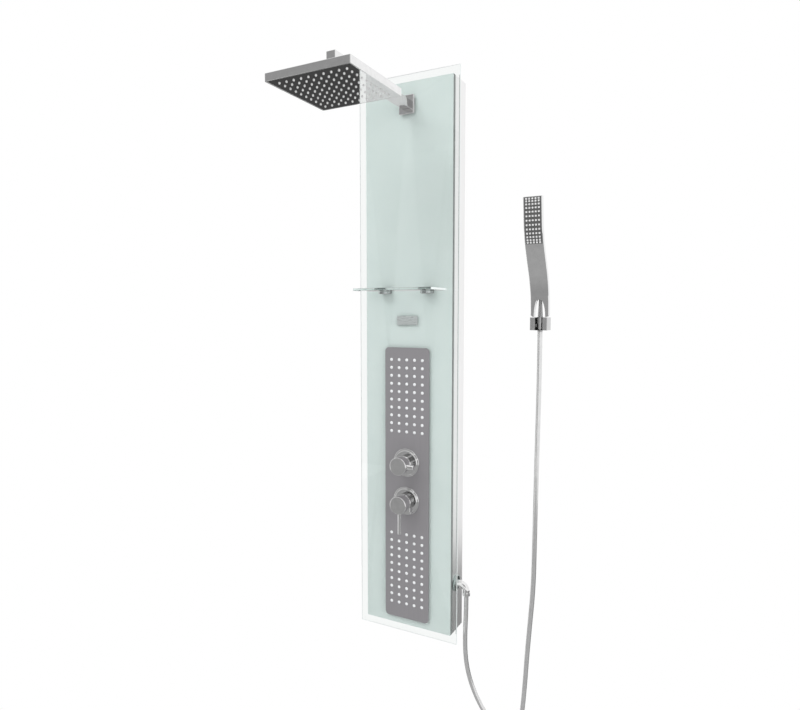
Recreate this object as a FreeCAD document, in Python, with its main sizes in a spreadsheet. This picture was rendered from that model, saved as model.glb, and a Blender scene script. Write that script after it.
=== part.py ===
import FreeCAD, Part
import Sketcher
import math
import os

# Shower panel column: a clear front glass over a coloured field on a shallow
# aluminium housing, with a square overhead shower on a straight arm, a glass
# shelf, two fields of body jets, a diverter, a single-lever mixer and a hand
# shower on its own wall holder, fed by a hose from the housing's right side.
#
# Frame: +Z up, the wall is the plane Y = 0, the user stands at -Y, +X is the
# user's right hand. The origin is the middle of the four wall screws.

# Driving sizes in millimetres (angles in degrees).
SIZES = {
    # front and housing
    "glass_w": 293.0,            # clear front glass, width
    "glass_h": 1501.0,           # clear front glass, height
    "glass_t": 6.0,              # clear front glass, thickness
    "field_w": 256.0,            # coloured field and housing, width
    "field_h": 1464.0,           # coloured field and housing, height
    "sheet_t": 1.5,              # coloured sheet behind the glass
    "panel_depth": 85.0,         # wall to the front of the glass
    "bond_depth": 12.0,          # dark bonding frame, front to back
    "bond_wide": 12.0,           # dark bonding frame, width of its strips
    "skin_t": 2.0,               # wall of the aluminium profiles
    "front_lip": 14.0,           # inward lip of a side profile, front
    "rear_lip": 12.0,            # inward lip of a side profile, wall side
    # hanging on the wall
    "screw_dx": 160.0,           # wall screws, spacing across
    "screw_dz": 1200.0,          # wall screws, spacing up
    "screw_hole": 5.5,           # wall screw hole
    "bracket_len": 200.0,        # wall bracket, length
    "bracket_t": 2.5,            # wall bracket, steel thickness
    "bracket_low": 25.0,         # wall bracket below its screws
    "bracket_top": 15.0,         # wall bracket above its screws
    "hook_out": 6.5,             # wall to the hook of the bracket
    "hook_up": 12.0,             # height of the hook above its shelf
    "hang_play": 0.8,            # play of the hanging lip behind the hook
    "seat_gap": 0.3,             # gap left at a seat that only rests
    "rail_depth": 30.0,          # hanging rail, wall to its front
    "rail_drop": 20.0,           # hanging rail below the screws
    # control plate and body jets
    "plate_w": 132.0,            # grey control plate, width
    "plate_h": 750.0,            # grey control plate, height
    "plate_t": 3.0,              # grey control plate, thickness
    "plate_mid": -337.0,         # grey control plate, height of its middle
    "plate_corner": 11.0,        # grey control plate, corner radius
    "jet_dx": 23.2,              # body jets, spacing across
    "jet_dz": 21.7,              # body jets, spacing up
    "upper_jets_top": 5.0,       # top row of the upper jets
    "lower_jets_top": -474.5,    # top row of the lower jets
    "jet_d": 8.4,                # jet at its foot
    "jet_out": 2.6,              # jet, how far it stands out
    "chamber_rim": 10.0,         # chamber beyond the outer jets
    "chamber_depth": 25.0,       # chamber behind the control plate
    "chamber_wall": 3.0,         # chamber wall
    "window_play": 1.0,          # glass window beyond the chamber
    "port_d": 22.0,              # chamber port, diameter
    "port_back": 22.0,           # chamber port, length
    "port_up": 25.0,             # chamber port above or below its chamber's end
    # badge and shelf
    "badge_w": 61.0,
    "badge_h": 23.6,
    "badge_t": 2.0,
    "badge_mid": 111.0,          # height of the bare badge plate
    "shelf_w": 230.0,
    "shelf_reach": 95.0,         # front of the glass to the shelf's front edge
    "shelf_t": 6.0,
    "shelf_z": 189.0,            # underside of the shelf
    "shelf_corner": 9.0,
    "clamp_dx": 126.0,           # shelf clamps, spacing
    "clamp_w": 30.0,
    "clamp_out": 28.0,
    "clamp_under": 7.0,          # lower jaw of a clamp
    "clamp_over": 3.0,           # upper jaw of a clamp
    "clamp_back": 4.0,           # back of a clamp behind the shelf
    "clamp_round": 11.0,
    # arm and overhead shower
    "arm_z": 671.5,              # middle of the arm
    "arm_side": 23.0,            # square arm, side
    "arm_reach": 354.0,          # front of the glass to the arm's end
    "arm_edge": 1.5,             # rounded edges of the arm
    "flange_w": 42.0,
    "flange_h": 47.0,
    "flange_t": 8.5,
    "spigot_d": 20.9,            # G1/2 spigot through the glass
    "spigot_back": 26.0,         # spigot behind the front of the glass
    "spigot_hole": 22.5,
    "nut_af": 30.0,              # lock nut across flats
    "nut_t": 8.0,
    "drop_d": 20.0,              # round collar under the arm
    "drop_h": 6.0,
    "head_reach": 337.0,         # front of the glass to the head's middle
    "ball_drop": 13.0,           # collar's lower face to the ball's centre
    "ball_r": 10.0,
    "neck_r": 5.5,
    "ring_t": 1.8,               # friction ring around the ball
    "run_fit": 0.1,              # radial play of running fits
    "socket_r": 15.0,
    "socket_up": 8.0,            # socket above the ball's centre
    "ball_over_head": 16.0,      # ball's centre above the head's top
    "head_side": 210.0,
    "head_t": 17.0,
    "head_wall": 2.6,
    "head_roof": 3.5,
    "face_t": 1.5,
    "face_inset": 0.3,
    "chamber_play": 3.0,         # water chamber inside the head's walls
    "nozzle_pitch": 18.5,
    "nozzle_d": 5.2,
    "nozzle_out": 2.2,
    # valves
    "mixer_z": -379.0,
    "diverter_z": -274.0,
    "valve_hole": 46.0,
    "valve_d": 45.0,             # valve body
    "valve_back": 53.0,          # valve body behind the front of the glass
    "cartridge_d": 34.0,
    "cartridge_back": 26.0,      # cartridge seat behind the front of the glass
    "cartridge_out": 8.0,        # cartridge in front of the glass
    "rosette_d": 77.0,
    "rosette_t": 7.0,
    "rosette_step_d": 67.0,
    "rosette_edge": 4.0,         # thickness of the rosette's rim
    "rosette_bore": 38.0,
    "knob_d": 48.0,
    "knob_wall": 3.0,
    "knob_front": 56.0,          # front of the knobs from the glass
    "knob_back": 25.0,           # back edge of the knobs from the glass
    "knob_bevel": 1.6,
    "dome_r": 22.5,
    "dome_wall": 2.5,
    "dome_hole": 27.0,
    "pivot_out": 14.0,           # lever pivot in front of the glass
    "carrier_d": 24.0,
    "carrier_t": 1.4,
    "fork_gap": 8.6,
    "fork_t": 3.7,
    "pin_d": 3.0,
    "stem_side": 8.0,
    "shaft_d": 12.0,
    "lever_d": 9.5,
    "lever_len": 57.0,
    "lever_out": 45.0,           # lever and stub from the front of the glass
    "stub_d": 13.0,
    "stub_len": 18.0,
    "grip_sunk": 1.5,            # lever and stub sunk into their knob's wall
    "inlet_dx": 150.0,           # hot and cold inlets, spacing
    "inlet_d": 20.9,             # G1/2 nipple
    "inlet_bore": 15.0,
    "inlet_thread": 15.0,
    "inlet_gap": 3.0,            # nipple's end to the wall
    "cross_d": 24.0,
    # pipes inside
    "pipe_d": 14.0,
    "pipe_bore": 11.0,
    "pipe_bend": 15.0,
    "riser_x": 60.0,
    "side_run_x": 97.0,
    "twin_port": 24.0,           # spacing of the two right-hand ports
    # side outlet and hose
    "outlet_inset": 38.0,        # front of the glass to the side outlet
    "outlet_z": -598.0,
    "outlet_rosette_d": 42.0,
    "outlet_rosette_t": 6.0,
    "outlet_hole": 19.0,
    "elbow_d": 18.0,
    "elbow_out": 31.5,           # housing side to the elbow's lower leg
    "elbow_bend": 18.0,
    "elbow_inside": 10.0,        # spigot inside the housing
    "elbow_bore": 13.0,
    "elbow_drop": 1.0,           # straight end of the elbow above the hose nut
    "hose_nut_d": 21.0,
    "hose_nut_h": 11.0,
    "hose_d": 12.0,
    # hand shower and holder
    "holder_x": 341.0,
    "holder_z": 88.0,            # underside of the holder
    "holder_w": 43.5,
    "holder_h": 32.0,
    "holder_depth": 35.0,
    "holder_slot": 20.0,
    "holder_back": 5.0,
    "holder_edge": 1.2,
    "holder_screw_dz": 22.0,
    "holder_screw_hole": 4.5,
    "cone_y": -18.5,             # axis of the hose cone
    "cone_low_d": 12.6,
    "cone_top_d": 17.0,
    "cone_h": 37.0,
    "cone_below": 4.0,           # cone below the holder
    "seat_h": 8.0,
    "seat_up": 8.0,              # seat above the holder's underside
    "seat_play": 0.3,
    "seat_front": 27.5,          # wall to the seat's front
    "seat_slot": 12.8,
    "handset_w": 46.0,
    "handset_t": 13.0,
    "handset_foot": 10.0,
    "handset_lean": 28.5,
    "handset_tip_lean": 7.0,
    "lower_bend": 218.0,
    "upper_bend": 197.0,
    "handset_waist": 51.0,
    "handset_tip": 57.0,
    "handset_edge": 1.4,
    "handset_corner": 5.0,
    "arch_w": 26.4,
    "arch_h": 45.0,
    "neck_top_d": 7.5,
    "neck_low_d": 12.3,
    "thread_d": 10.8,
    "thread_len": 9.0,
    "spray_len": 108.0,
    "spray_w": 41.0,
    "spray_t": 1.0,
    "spray_end": 2.0,
    "spray_dx": 7.5,
    "spray_half": 50.5,          # middle row to the last row
    "spray_swing": 61.0,
    "spray_nozzle": 3.0,
    "spray_nozzle_out": 0.9,
}
JET_COLUMNS = 5
JET_ROWS = 10
HEAD_NOZZLES = 10
SPRAY_COLUMNS = 5
SPRAY_ROWS = 13
NOZZLE_SIDES = 6

# The hose's route from the elbow's nut down, round its loop and up to the
# hand shower's cone. The two ends come from the sizes; these points, chosen by
# eye, lie between them.
HOSE_ROUTE = (
    (159.5, -47.0, -677.0),
    (156.5, -46.5, -735.0),
    (157.6, -46.0, -797.0),
    (166.5, -44.5, -848.0),
    (183.0, -42.0, -895.0),
    (206.0, -39.5, -937.0),
    (230.0, -37.5, -966.0),
    (260.0, -34.5, -976.0),
    (290.0, -31.0, -967.0),
    (309.0, -28.5, -941.0),
    (313.0, -27.0, -903.0),
    (317.0, -25.0, -845.0),
    (321.0, -24.0, -770.0),
    (327.5, -23.0, -680.0),
    (335.0, -22.0, -580.0),
    (336.6, -21.0, -450.0),
    (337.6, -20.0, -310.0),
    (339.4, -19.4, -165.0),
    (341.0, -18.5, -35.0),
)
HOSE_ARC_SHARE = 0.45            # share of the shorter run that an arc takes

X_AXIS = FreeCAD.Vector(1, 0, 0)
Y_AXIS = FreeCAD.Vector(0, 1, 0)
Z_AXIS = FreeCAD.Vector(0, 0, 1)
TO_FRONT = FreeCAD.Rotation(X_AXIS, 90)      # a turned piece's axis points to the user
TO_WALL = FreeCAD.Rotation(X_AXIS, -90)
TO_RIGHT = FreeCAD.Rotation(Y_AXIS, 90)
TO_LEFT = FreeCAD.Rotation(Y_AXIS, -90)


class Size:
    """A length with the sheet expression that it comes from, so that sums stay bound."""

    def __init__(self, value, text):
        self.value = float(value)
        self.text = text

    def __float__(self):
        return self.value

    def __add__(self, other):
        return Size(self.value + float(other), f"({self.text} + {text_of(other)})")

    def __radd__(self, other):
        return self + other

    def __sub__(self, other):
        return Size(self.value - float(other), f"({self.text} - {text_of(other)})")

    def __rsub__(self, other):
        return Size(float(other) - self.value, f"({text_of(other)} - {self.text})")

    def __mul__(self, other):
        return Size(self.value * float(other), f"({self.text} * {text_of(other)})")

    def __rmul__(self, other):
        return self * other

    def __truediv__(self, other):
        return Size(self.value / float(other), f"({self.text} / {text_of(other)})")

    def __neg__(self):
        return Size(-self.value, f"(0 - {self.text})")


def text_of(value):
    """The expression text of a size or of a plain number."""
    return value.text if isinstance(value, Size) else repr(float(value))


doc = FreeCAD.newDocument("shower_panel_column")
sheet = doc.addObject("Spreadsheet::Sheet", "dims")
for row, (alias, number) in enumerate(SIZES.items(), start=1):
    sheet.set(f"A{row}", alias)
    sheet.set(f"B{row}", str(number))
    sheet.setAlias(f"B{row}", alias)
doc.recompute()


class SheetSizes:
    """Gives each size of the sheet by its alias."""

    def __getattr__(self, alias):
        return Size(sheet.get(alias), f"dims.{alias}")


S = SheetSizes()

# Places that several pieces share.
GLASS_FRONT = -S.panel_depth
GLASS_BACK = GLASS_FRONT + S.glass_t
SHEET_BACK = GLASS_BACK + S.sheet_t
HOUSING_FRONT = SHEET_BACK + S.bond_depth
PLATE_FRONT = GLASS_FRONT - S.plate_t
PIPE_Y = GLASS_FRONT + S.outlet_inset
HEAD_Y = GLASS_FRONT - S.head_reach
ARM_UNDER = S.arm_z - S.arm_side / 2
COLLAR_LOW = ARM_UNDER - S.drop_h
BALL_Z = COLLAR_LOW - S.ball_drop
HEAD_TOP = BALL_Z - S.ball_over_head
HEAD_LOW = HEAD_TOP - S.head_t
UPPER_JETS_LOW = S.upper_jets_top - S.jet_dz * (JET_ROWS - 1)
LOWER_JETS_LOW = S.lower_jets_top - S.jet_dz * (JET_ROWS - 1)
CHAMBER_W = S.jet_dx * (JET_COLUMNS - 1) + S.chamber_rim * 2
CHAMBER_H = S.jet_dz * (JET_ROWS - 1) + S.chamber_rim * 2
CONE_LOW = S.holder_z - S.cone_below
CONE_TOP = CONE_LOW + S.cone_h
OUTLET_X = S.field_w / 2
ELBOW_X = OUTLET_X + S.elbow_out
HOSE_START_Z = S.outlet_z - S.elbow_bend - S.elbow_drop - S.hose_nut_h

pieces = []


# ---- binding and placing ----

def bind(target, name, size):
    """Set a property from a number, or bind it to the sheet when it is a size."""
    setattr(target, name, float(size))
    if isinstance(size, Size):
        target.setExpression(name, size.text)


def place(target, x=0, y=0, z=0, turn=FreeCAD.Rotation()):
    """Put an object at x, y, z with its own turn, the place bound to the sheet."""
    spot = FreeCAD.Vector(float(x), float(y), float(z))
    target.Placement = FreeCAD.Placement(spot, turn)
    for axis, size in zip("xyz", (x, y, z)):
        if isinstance(size, Size):
            target.setExpression(f"Placement.Base.{axis}", size.text)
    return target


def keep(target, label):
    """Name a finished sub-part; its label is also its file's name."""
    target.Label = label
    pieces.append(target)
    return target


# ---- sketched bodies ----

def new_body(label):
    """An empty body whose label names its sub-part."""
    return keep(doc.addObject("PartDesign::Body", label), label)


def new_sketch(body, role, offset=0):
    """A sketch on one of the body's own origin planes, moved along its normal."""
    plane = next(item for item in body.Origin.OriginFeatures if item.Role == role)
    sketch = body.newObject("Sketcher::SketchObject", f"{body.Name}_sketch")
    sketch.AttachmentSupport = [(plane, "")]
    sketch.MapMode = "FlatFace"
    if isinstance(offset, Size):
        sketch.setExpression("AttachmentOffset.Base.z", offset.text)
    return sketch


def pin_point(sketch, geometry, point, x, y):
    """Dimension one point of a sketch from the sketch's origin."""
    for kind, size in (("DistanceX", x), ("DistanceY", y)):
        index = sketch.addConstraint(Sketcher.Constraint(kind, -1, 1, geometry, point, float(size)))
        if isinstance(size, Size):
            sketch.setExpression(f"Constraints[{index}]", size.text)


def draw_outline(sketch, corners):
    """A closed outline of straight lines through dimensioned corners."""
    spots = [FreeCAD.Vector(float(x), float(y), 0) for x, y in corners]
    first = sketch.GeometryCount
    count = len(spots)
    for i in range(count):
        sketch.addGeometry(Part.LineSegment(spots[i], spots[(i + 1) % count]), False)
    for i in range(count):
        joined = (first + i, 2, first + (i + 1) % count, 1)
        sketch.addConstraint(Sketcher.Constraint("Coincident", *joined))
    for i, (x, y) in enumerate(corners):
        pin_point(sketch, first + i, 1, x, y)


def draw_box(sketch, width, height, x=0, y=0):
    """A rectangle about the point x, y."""
    left, right = x - width / 2, x + width / 2
    low, high = y - height / 2, y + height / 2
    draw_outline(sketch, [(left, low), (right, low), (right, high), (left, high)])


def draw_circle(sketch, diameter, x=0, y=0):
    """A circle about the point x, y."""
    centre = FreeCAD.Vector(float(x), float(y), 0)
    radius = diameter / 2
    index = sketch.addGeometry(Part.Circle(centre, Z_AXIS, float(radius)), False)
    pin_point(sketch, index, 3, x, y)
    size = sketch.addConstraint(Sketcher.Constraint("Radius", index, float(radius)))
    sketch.setExpression(f"Constraints[{size}]", radius.text)


def pad(body, sketch, length, reverse=False):
    """Raise a sketch by a length along its normal."""
    feature = body.newObject("PartDesign::Pad", f"{body.Name}_pad")
    feature.Profile = sketch
    feature.Reversed = reverse
    bind(feature, "Length", length)
    return feature


def pocket(body, sketch, length=None, reverse=False):
    """Cut a sketch into the body, right through when no length is given."""
    doc.recompute()
    before = body.Shape.Volume
    feature = body.newObject("PartDesign::Pocket", f"{body.Name}_pocket")
    feature.Profile = sketch
    feature.Reversed = reverse
    if length is None:
        feature.Type = "ThroughAll"
    else:
        bind(feature, "Length", length)
    doc.recompute()
    if body.Shape.Volume >= before:
        raise RuntimeError(f"{body.Label}: a pocket cuts nothing")
    return feature


def revolve(body, sketch):
    """Turn a sketched half section about the sketch's upright axis."""
    feature = body.newObject("PartDesign::Revolution", f"{body.Name}_turned")
    feature.Profile = sketch
    feature.ReferenceAxis = (sketch, ["V_Axis"])
    feature.Angle = 360.0
    return feature


def dress(body, kind, size_name, size, choose):
    """Fillet or chamfer the edges of the body that a test picks."""
    doc.recompute()
    tip = body.Tip
    names = [f"Edge{i}" for i, edge in enumerate(tip.Shape.Edges, start=1) if choose(edge)]
    feature = body.newObject(f"PartDesign::{kind}", f"{body.Name}_{kind.lower()}")
    feature.Base = (tip, names)
    bind(feature, size_name, size)
    return feature


def round_edges(body, radius, choose):
    """Round the chosen edges."""
    return dress(body, "Fillet", "Radius", radius, choose)


def bevel_edges(body, size, choose):
    """Bevel the chosen edges."""
    return dress(body, "Chamfer", "Size", size, choose)


def runs_along(edge, direction):
    """True for a straight edge along a direction."""
    if edge.Curve.TypeId != "Part::GeomLine":
        return False
    return abs(abs(edge.Curve.Direction.dot(direction)) - 1.0) < 1e-6


def lies_at(edge, axis, value):
    """True when the whole edge lies at one coordinate."""
    spots = [getattr(vertex.Point, axis) for vertex in edge.Vertexes]
    return all(abs(spot - float(value)) < 1e-4 for spot in spots)


def turned_piece(label, section):
    """A turned body: a half section of radius and height pairs, axis up."""
    body = new_body(label)
    sketch = new_sketch(body, "XZ_Plane")
    draw_outline(sketch, section)
    revolve(body, sketch)
    return body


def flat_piece(label, width, height, thickness):
    """A rectangular plate, its back on the XZ plane, thickness towards the user."""
    body = new_body(label)
    sketch = new_sketch(body, "XZ_Plane")
    draw_box(sketch, width, height)
    pad(body, sketch, thickness)
    return body


# ---- primitives and booleans ----

def solid(kind, **sizes):
    """A Part primitive with its sizes bound."""
    item = doc.addObject(f"Part::{kind}", kind.lower())
    for name, size in sizes.items():
        bind(item, name, size)
    return item


def cylinder(diameter, length, x=0, y=0, z=0, turn=FreeCAD.Rotation()):
    """A cylinder that starts at x, y, z."""
    return place(solid("Cylinder", Radius=diameter / 2, Height=length), x, y, z, turn)


def block(width, depth, height, x=0, y=0, z=0):
    """A box with the middle of its width at x, its front at y and its underside at z."""
    return place(solid("Box", Length=width, Width=depth, Height=height), x - width / 2, y, z)


def sphere(radius, x=0, y=0, z=0):
    """A ball about x, y, z."""
    return place(solid("Sphere", Radius=radius), x, y, z)


def fuse(*items):
    """Join solids into one."""
    joined = doc.addObject("Part::MultiFuse", "joined")
    joined.Shapes = list(items)
    joined.Refine = True
    return joined


def cut(base, *tools):
    """Take each tool away from the base in turn."""
    for tool in tools:
        result = doc.addObject("Part::Cut", "cut")
        result.Base = base
        result.Tool = tool
        base = result
    return base


def common(base, tool):
    """What two solids share."""
    result = doc.addObject("Part::Common", "common")
    result.Base = base
    result.Tool = tool
    return result


# ---- shapes worked out in code ----

def shaped(label, shape, x=0, y=0, z=0):
    """A sub-part whose shape is worked out here from the sheet's sizes."""
    item = doc.addObject("Part::Feature", label)
    item.Shape = shape
    place(item, x, y, z)
    return keep(item, label)


def rounded_wire(points, radii):
    """Straight runs through the points, joined by tangent arcs of the given radii."""
    edges = []
    start = points[0]
    for before, corner, after, radius in zip(points, points[1:], points[2:], radii):
        into = (corner - before).normalize()
        out = (after - corner).normalize()
        half = into.getAngle(out) / 2
        trim = radius * math.tan(half)
        entry = corner - into * trim
        leave = corner + out * trim
        inward = (out - into).normalize()
        middle = corner + inward * (radius / math.cos(half) - radius)
        edges.append(Part.LineSegment(start, entry).toShape())
        edges.append(Part.Arc(entry, middle, leave).toShape())
        start = leave
    edges.append(Part.LineSegment(start, points[-1]).toShape())
    return Part.Wire(edges)


def sweep_round(path, diameter):
    """A solid of round section along a path."""
    first = path.Edges[0]
    start = first.valueAt(first.FirstParameter)
    heading = first.tangentAt(first.FirstParameter)
    ring = Part.Wire([Part.Circle(start, heading, diameter / 2).toShape()])
    return path.makePipeShell([ring], True, False)


def bent_pipe(label, points, bend):
    """A hollow pipe along straight runs with equal bends."""
    spots = [FreeCAD.Vector(*(float(value) for value in point)) for point in points]
    path = rounded_wire(spots, [float(bend)] * (len(spots) - 2))
    outer = sweep_round(path, float(S.pipe_d))
    inner = sweep_round(path, float(S.pipe_bore))
    return shaped(label, outer.cut(inner))


def nozzle(foot, normal, across, radius, height, sides):
    """A tapered nozzle: a regular prism narrowing from its foot to three quarters."""
    turn = FreeCAD.Rotation(across, FreeCAD.Vector(), normal, "ZXY")
    rings = []
    for level, share in ((0.0, 1.0), (height, 0.75)):
        corners = []
        for i in range(sides):
            angle = 2 * math.pi * (i + 0.5) / sides
            spot = FreeCAD.Vector(math.cos(angle), math.sin(angle), 0) * (radius * share)
            corners.append(foot + turn.multVec(spot + Z_AXIS * level))
        rings.append(Part.makePolygon(corners + corners[:1]))
    return Part.makeLoft(rings, True, True)


# ---- front, housing and hanging ----

def cut_front_openings(body):
    """Windows and holes that the glass and the sheet behind it share."""
    sketch = new_sketch(body, "XZ_Plane")
    window_w = CHAMBER_W + S.window_play * 2
    window_h = CHAMBER_H + S.window_play * 2
    for top in (S.upper_jets_top, S.lower_jets_top):
        draw_box(sketch, window_w, window_h, 0, top - S.jet_dz * (JET_ROWS - 1) / 2)
    draw_circle(sketch, S.valve_hole, 0, S.mixer_z)
    draw_circle(sketch, S.valve_hole, 0, S.diverter_z)
    draw_circle(sketch, S.spigot_hole, 0, S.arm_z)
    pocket(body, sketch, reverse=True)


def front_glass():
    """Clear toughened glass with ground edges."""
    body = flat_piece("front_glass", S.glass_w, S.glass_h, S.glass_t)
    cut_front_openings(body)
    edge_x, edge_z = S.glass_w / 2, S.glass_h / 2

    def outer_front(edge):
        if not lies_at(edge, "y", -S.glass_t):
            return False
        sides = [("x", edge_x), ("x", -edge_x), ("z", edge_z), ("z", -edge_z)]
        return any(lies_at(edge, axis, value) for axis, value in sides)

    bevel_edges(body, S.glass_t / 6, outer_front)
    place(body, 0, GLASS_BACK, 0)


def colour_panel():
    """Coloured aluminium sheet that shows through the glass."""
    body = flat_piece("colour_panel", S.field_w, S.field_h, S.sheet_t)
    cut_front_openings(body)
    place(body, 0, SHEET_BACK, 0)


def bonding_frame():
    """Dark bonding strips between the sheet and the housing's lips."""
    body = new_body("bonding_frame")
    sketch = new_sketch(body, "XZ_Plane")
    draw_box(sketch, S.field_w, S.field_h)
    draw_box(sketch, S.field_w - S.bond_wide * 2, S.field_h - S.bond_wide * 2)
    pad(body, sketch, S.bond_depth)
    place(body, 0, HOUSING_FRONT, 0)


def side_profile(label, side):
    """One aluminium side: a wall with an inward lip in front and at the wall."""
    body = new_body(label)
    sketch = new_sketch(body, "XY_Plane")
    front = HOUSING_FRONT
    wall = S.skin_t
    section = [
        (0, 0), (0, front), (S.front_lip, front), (S.front_lip, front + wall),
        (wall, front + wall), (wall, -wall), (S.rear_lip, -wall), (S.rear_lip, 0),
    ]
    draw_outline(sketch, [(x * -side, y) for x, y in section])
    length = S.field_h - S.skin_t * 2
    pad(body, sketch, length)
    if side > 0:
        hole = new_sketch(body, "YZ_Plane")
        draw_circle(hole, S.outlet_hole + S.seat_gap * 2, PIPE_Y, S.outlet_z + length / 2)
        pocket(body, hole)
    place(body, S.field_w / 2 * side, 0, -(length / 2))


def end_cap(label, side):
    """Top or bottom cover of the housing with a flange in front and at the wall."""
    body = new_body(label)
    depth = -HOUSING_FRONT
    web = new_sketch(body, "XY_Plane")
    draw_box(web, S.field_w, depth, 0, -(depth / 2))
    pad(body, web, S.skin_t, reverse=side > 0)
    flange_w = S.field_w - (S.front_lip + S.seat_gap) * 2
    for y, tall in ((HOUSING_FRONT + S.skin_t / 2, S.front_lip), (-(S.skin_t / 2), S.rear_lip)):
        flange = new_sketch(body, "XY_Plane")
        draw_box(flange, flange_w, S.skin_t, 0, y)
        pad(body, flange, tall, reverse=side > 0)
    place(body, 0, 0, S.field_h / 2 * side)


def wall_brackets():
    """Two folded steel brackets that stay on the wall; the panel hangs on them."""
    brackets = []
    shelf_low = S.bracket_top - S.bracket_t
    hook_front = S.hook_out + S.bracket_t
    hook_top = S.bracket_top + S.hook_up
    section = [
        (0, -S.bracket_low), (0, S.bracket_top), (-S.hook_out, S.bracket_top),
        (-S.hook_out, hook_top), (-hook_front, hook_top), (-hook_front, shelf_low),
        (-S.bracket_t, shelf_low), (-S.bracket_t, -S.bracket_low),
    ]
    for name, side in (("upper", 1), ("lower", -1)):
        body = doc.addObject("PartDesign::Body", f"{name}_wall_bracket")
        sketch = new_sketch(body, "YZ_Plane")
        draw_outline(sketch, section)
        pad(body, sketch, S.bracket_len)
        holes = new_sketch(body, "XZ_Plane")
        for hand in (-1, 1):
            draw_circle(holes, S.screw_hole, S.bracket_len / 2 + S.screw_dx / 2 * hand, 0)
        pocket(body, holes, reverse=True)
        place(body, -(S.bracket_len / 2), 0, S.screw_dz / 2 * side)
        brackets.append(body)
    pair = doc.addObject("Part::Compound", "wall_brackets")
    pair.Links = brackets
    keep(pair, "wall_brackets")


def hanging_rail(label, side):
    """Cross rail between the side profiles; its lip drops behind the bracket's hook."""
    body = new_body(label)
    sketch = new_sketch(body, "YZ_Plane")
    lip_front = S.hook_out - S.hang_play
    lip_back = lip_front - S.bracket_t
    lip_low = S.bracket_top + S.seat_gap
    web_low = S.bracket_top + S.hook_up + S.hang_play * 4
    web_high = web_low + S.bracket_t
    inner = S.rail_depth - S.bracket_t
    draw_outline(sketch, [
        (-lip_back, lip_low), (-lip_back, web_high), (-S.rail_depth, web_high),
        (-S.rail_depth, -S.rail_drop), (-inner, -S.rail_drop), (-inner, web_low),
        (-lip_front, web_low), (-lip_front, lip_low),
    ])
    length = S.field_w - S.skin_t * 2
    pad(body, sketch, length)
    place(body, -(length / 2), 0, S.screw_dz / 2 * side)


# ---- control plate, jets, badge, shelf ----

def control_plate():
    """Grey plate that carries both valves and both fields of jets."""
    body = flat_piece("control_plate", S.plate_w, S.plate_h, S.plate_t)
    holes = new_sketch(body, "XZ_Plane")
    for height in (S.mixer_z, S.diverter_z):
        draw_circle(holes, S.valve_hole, 0, height - S.plate_mid)
    pocket(body, holes, reverse=True)
    round_edges(body, S.plate_corner, lambda edge: runs_along(edge, Y_AXIS))
    place(body, 0, GLASS_FRONT, S.plate_mid)


def jet_field(label, top):
    """One field of body jets on the control plate."""
    jets = []
    for column in range(JET_COLUMNS):
        for row in range(JET_ROWS):
            x = float(S.jet_dx) * (column - (JET_COLUMNS - 1) / 2)
            foot = FreeCAD.Vector(x, 0, -float(S.jet_dz) * row)
            jets.append(nozzle(foot, -Y_AXIS, X_AXIS, float(S.jet_d) / 2, float(S.jet_out), NOZZLE_SIDES))
    shaped(label, Part.makeCompound(jets), 0, PLATE_FRONT, top)


def jet_chamber(label, top, port_z):
    """Water chamber behind one field of jets, open to the plate, with a port at its back."""
    body = new_body(label)
    outer = new_sketch(body, "XZ_Plane")
    draw_box(outer, CHAMBER_W, CHAMBER_H)
    pad(body, outer, S.chamber_depth)
    port = new_sketch(body, "XZ_Plane")
    middle = top - S.jet_dz * (JET_ROWS - 1) / 2
    draw_circle(port, S.port_d, 0, port_z - middle)
    pad(body, port, S.port_back, reverse=True)
    inner = new_sketch(body, "XZ_Plane", S.chamber_wall)
    draw_box(inner, CHAMBER_W - S.chamber_wall * 2, CHAMBER_H - S.chamber_wall * 2)
    pocket(body, inner, reverse=True)
    place(body, 0, GLASS_FRONT + S.chamber_depth, middle)


def badge_plate():
    """Small bare plate, no lettering."""
    body = flat_piece("badge_plate", S.badge_w, S.badge_h, S.badge_t)
    bevel_edges(body, S.badge_t / 3, lambda edge: lies_at(edge, "y", -S.badge_t))
    place(body, 0, GLASS_FRONT, S.badge_mid)


def shelf_glass():
    """Glass shelf with rounded front corners."""
    body = new_body("shelf_glass")
    depth = S.shelf_reach - S.clamp_back - S.seat_gap
    sketch = new_sketch(body, "XY_Plane")
    draw_box(sketch, S.shelf_w, depth, 0, -(depth / 2))
    pad(body, sketch, S.shelf_t)
    round_edges(body, S.shelf_corner,
                lambda edge: runs_along(edge, Z_AXIS) and lies_at(edge, "y", -depth))
    place(body, 0, GLASS_FRONT - S.clamp_back - S.seat_gap, S.shelf_z)


def shelf_clamp(side):
    """Clamp with a jaw under and over the shelf, rounded towards the user."""
    body = doc.addObject("PartDesign::Body", "shelf_clamp")
    height = S.clamp_under + S.shelf_t + S.seat_gap * 2 + S.clamp_over
    sketch = new_sketch(body, "XY_Plane")
    draw_box(sketch, S.clamp_w, S.clamp_out, 0, -(S.clamp_out / 2))
    pad(body, sketch, height)
    slot_high = S.clamp_under + S.shelf_t + S.seat_gap * 2
    slot = new_sketch(body, "YZ_Plane", -(S.clamp_w / 2))
    draw_outline(slot, [
        (-(S.clamp_out + 1), S.clamp_under), (-S.clamp_back, S.clamp_under),
        (-S.clamp_back, slot_high), (-(S.clamp_out + 1), slot_high),
    ])
    pocket(body, slot, reverse=True)
    round_edges(body, S.clamp_round,
                lambda edge: runs_along(edge, Z_AXIS) and lies_at(edge, "y", -S.clamp_out))
    return place(body, S.clamp_dx / 2 * side, GLASS_FRONT, S.shelf_z - S.seat_gap - S.clamp_under)


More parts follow.
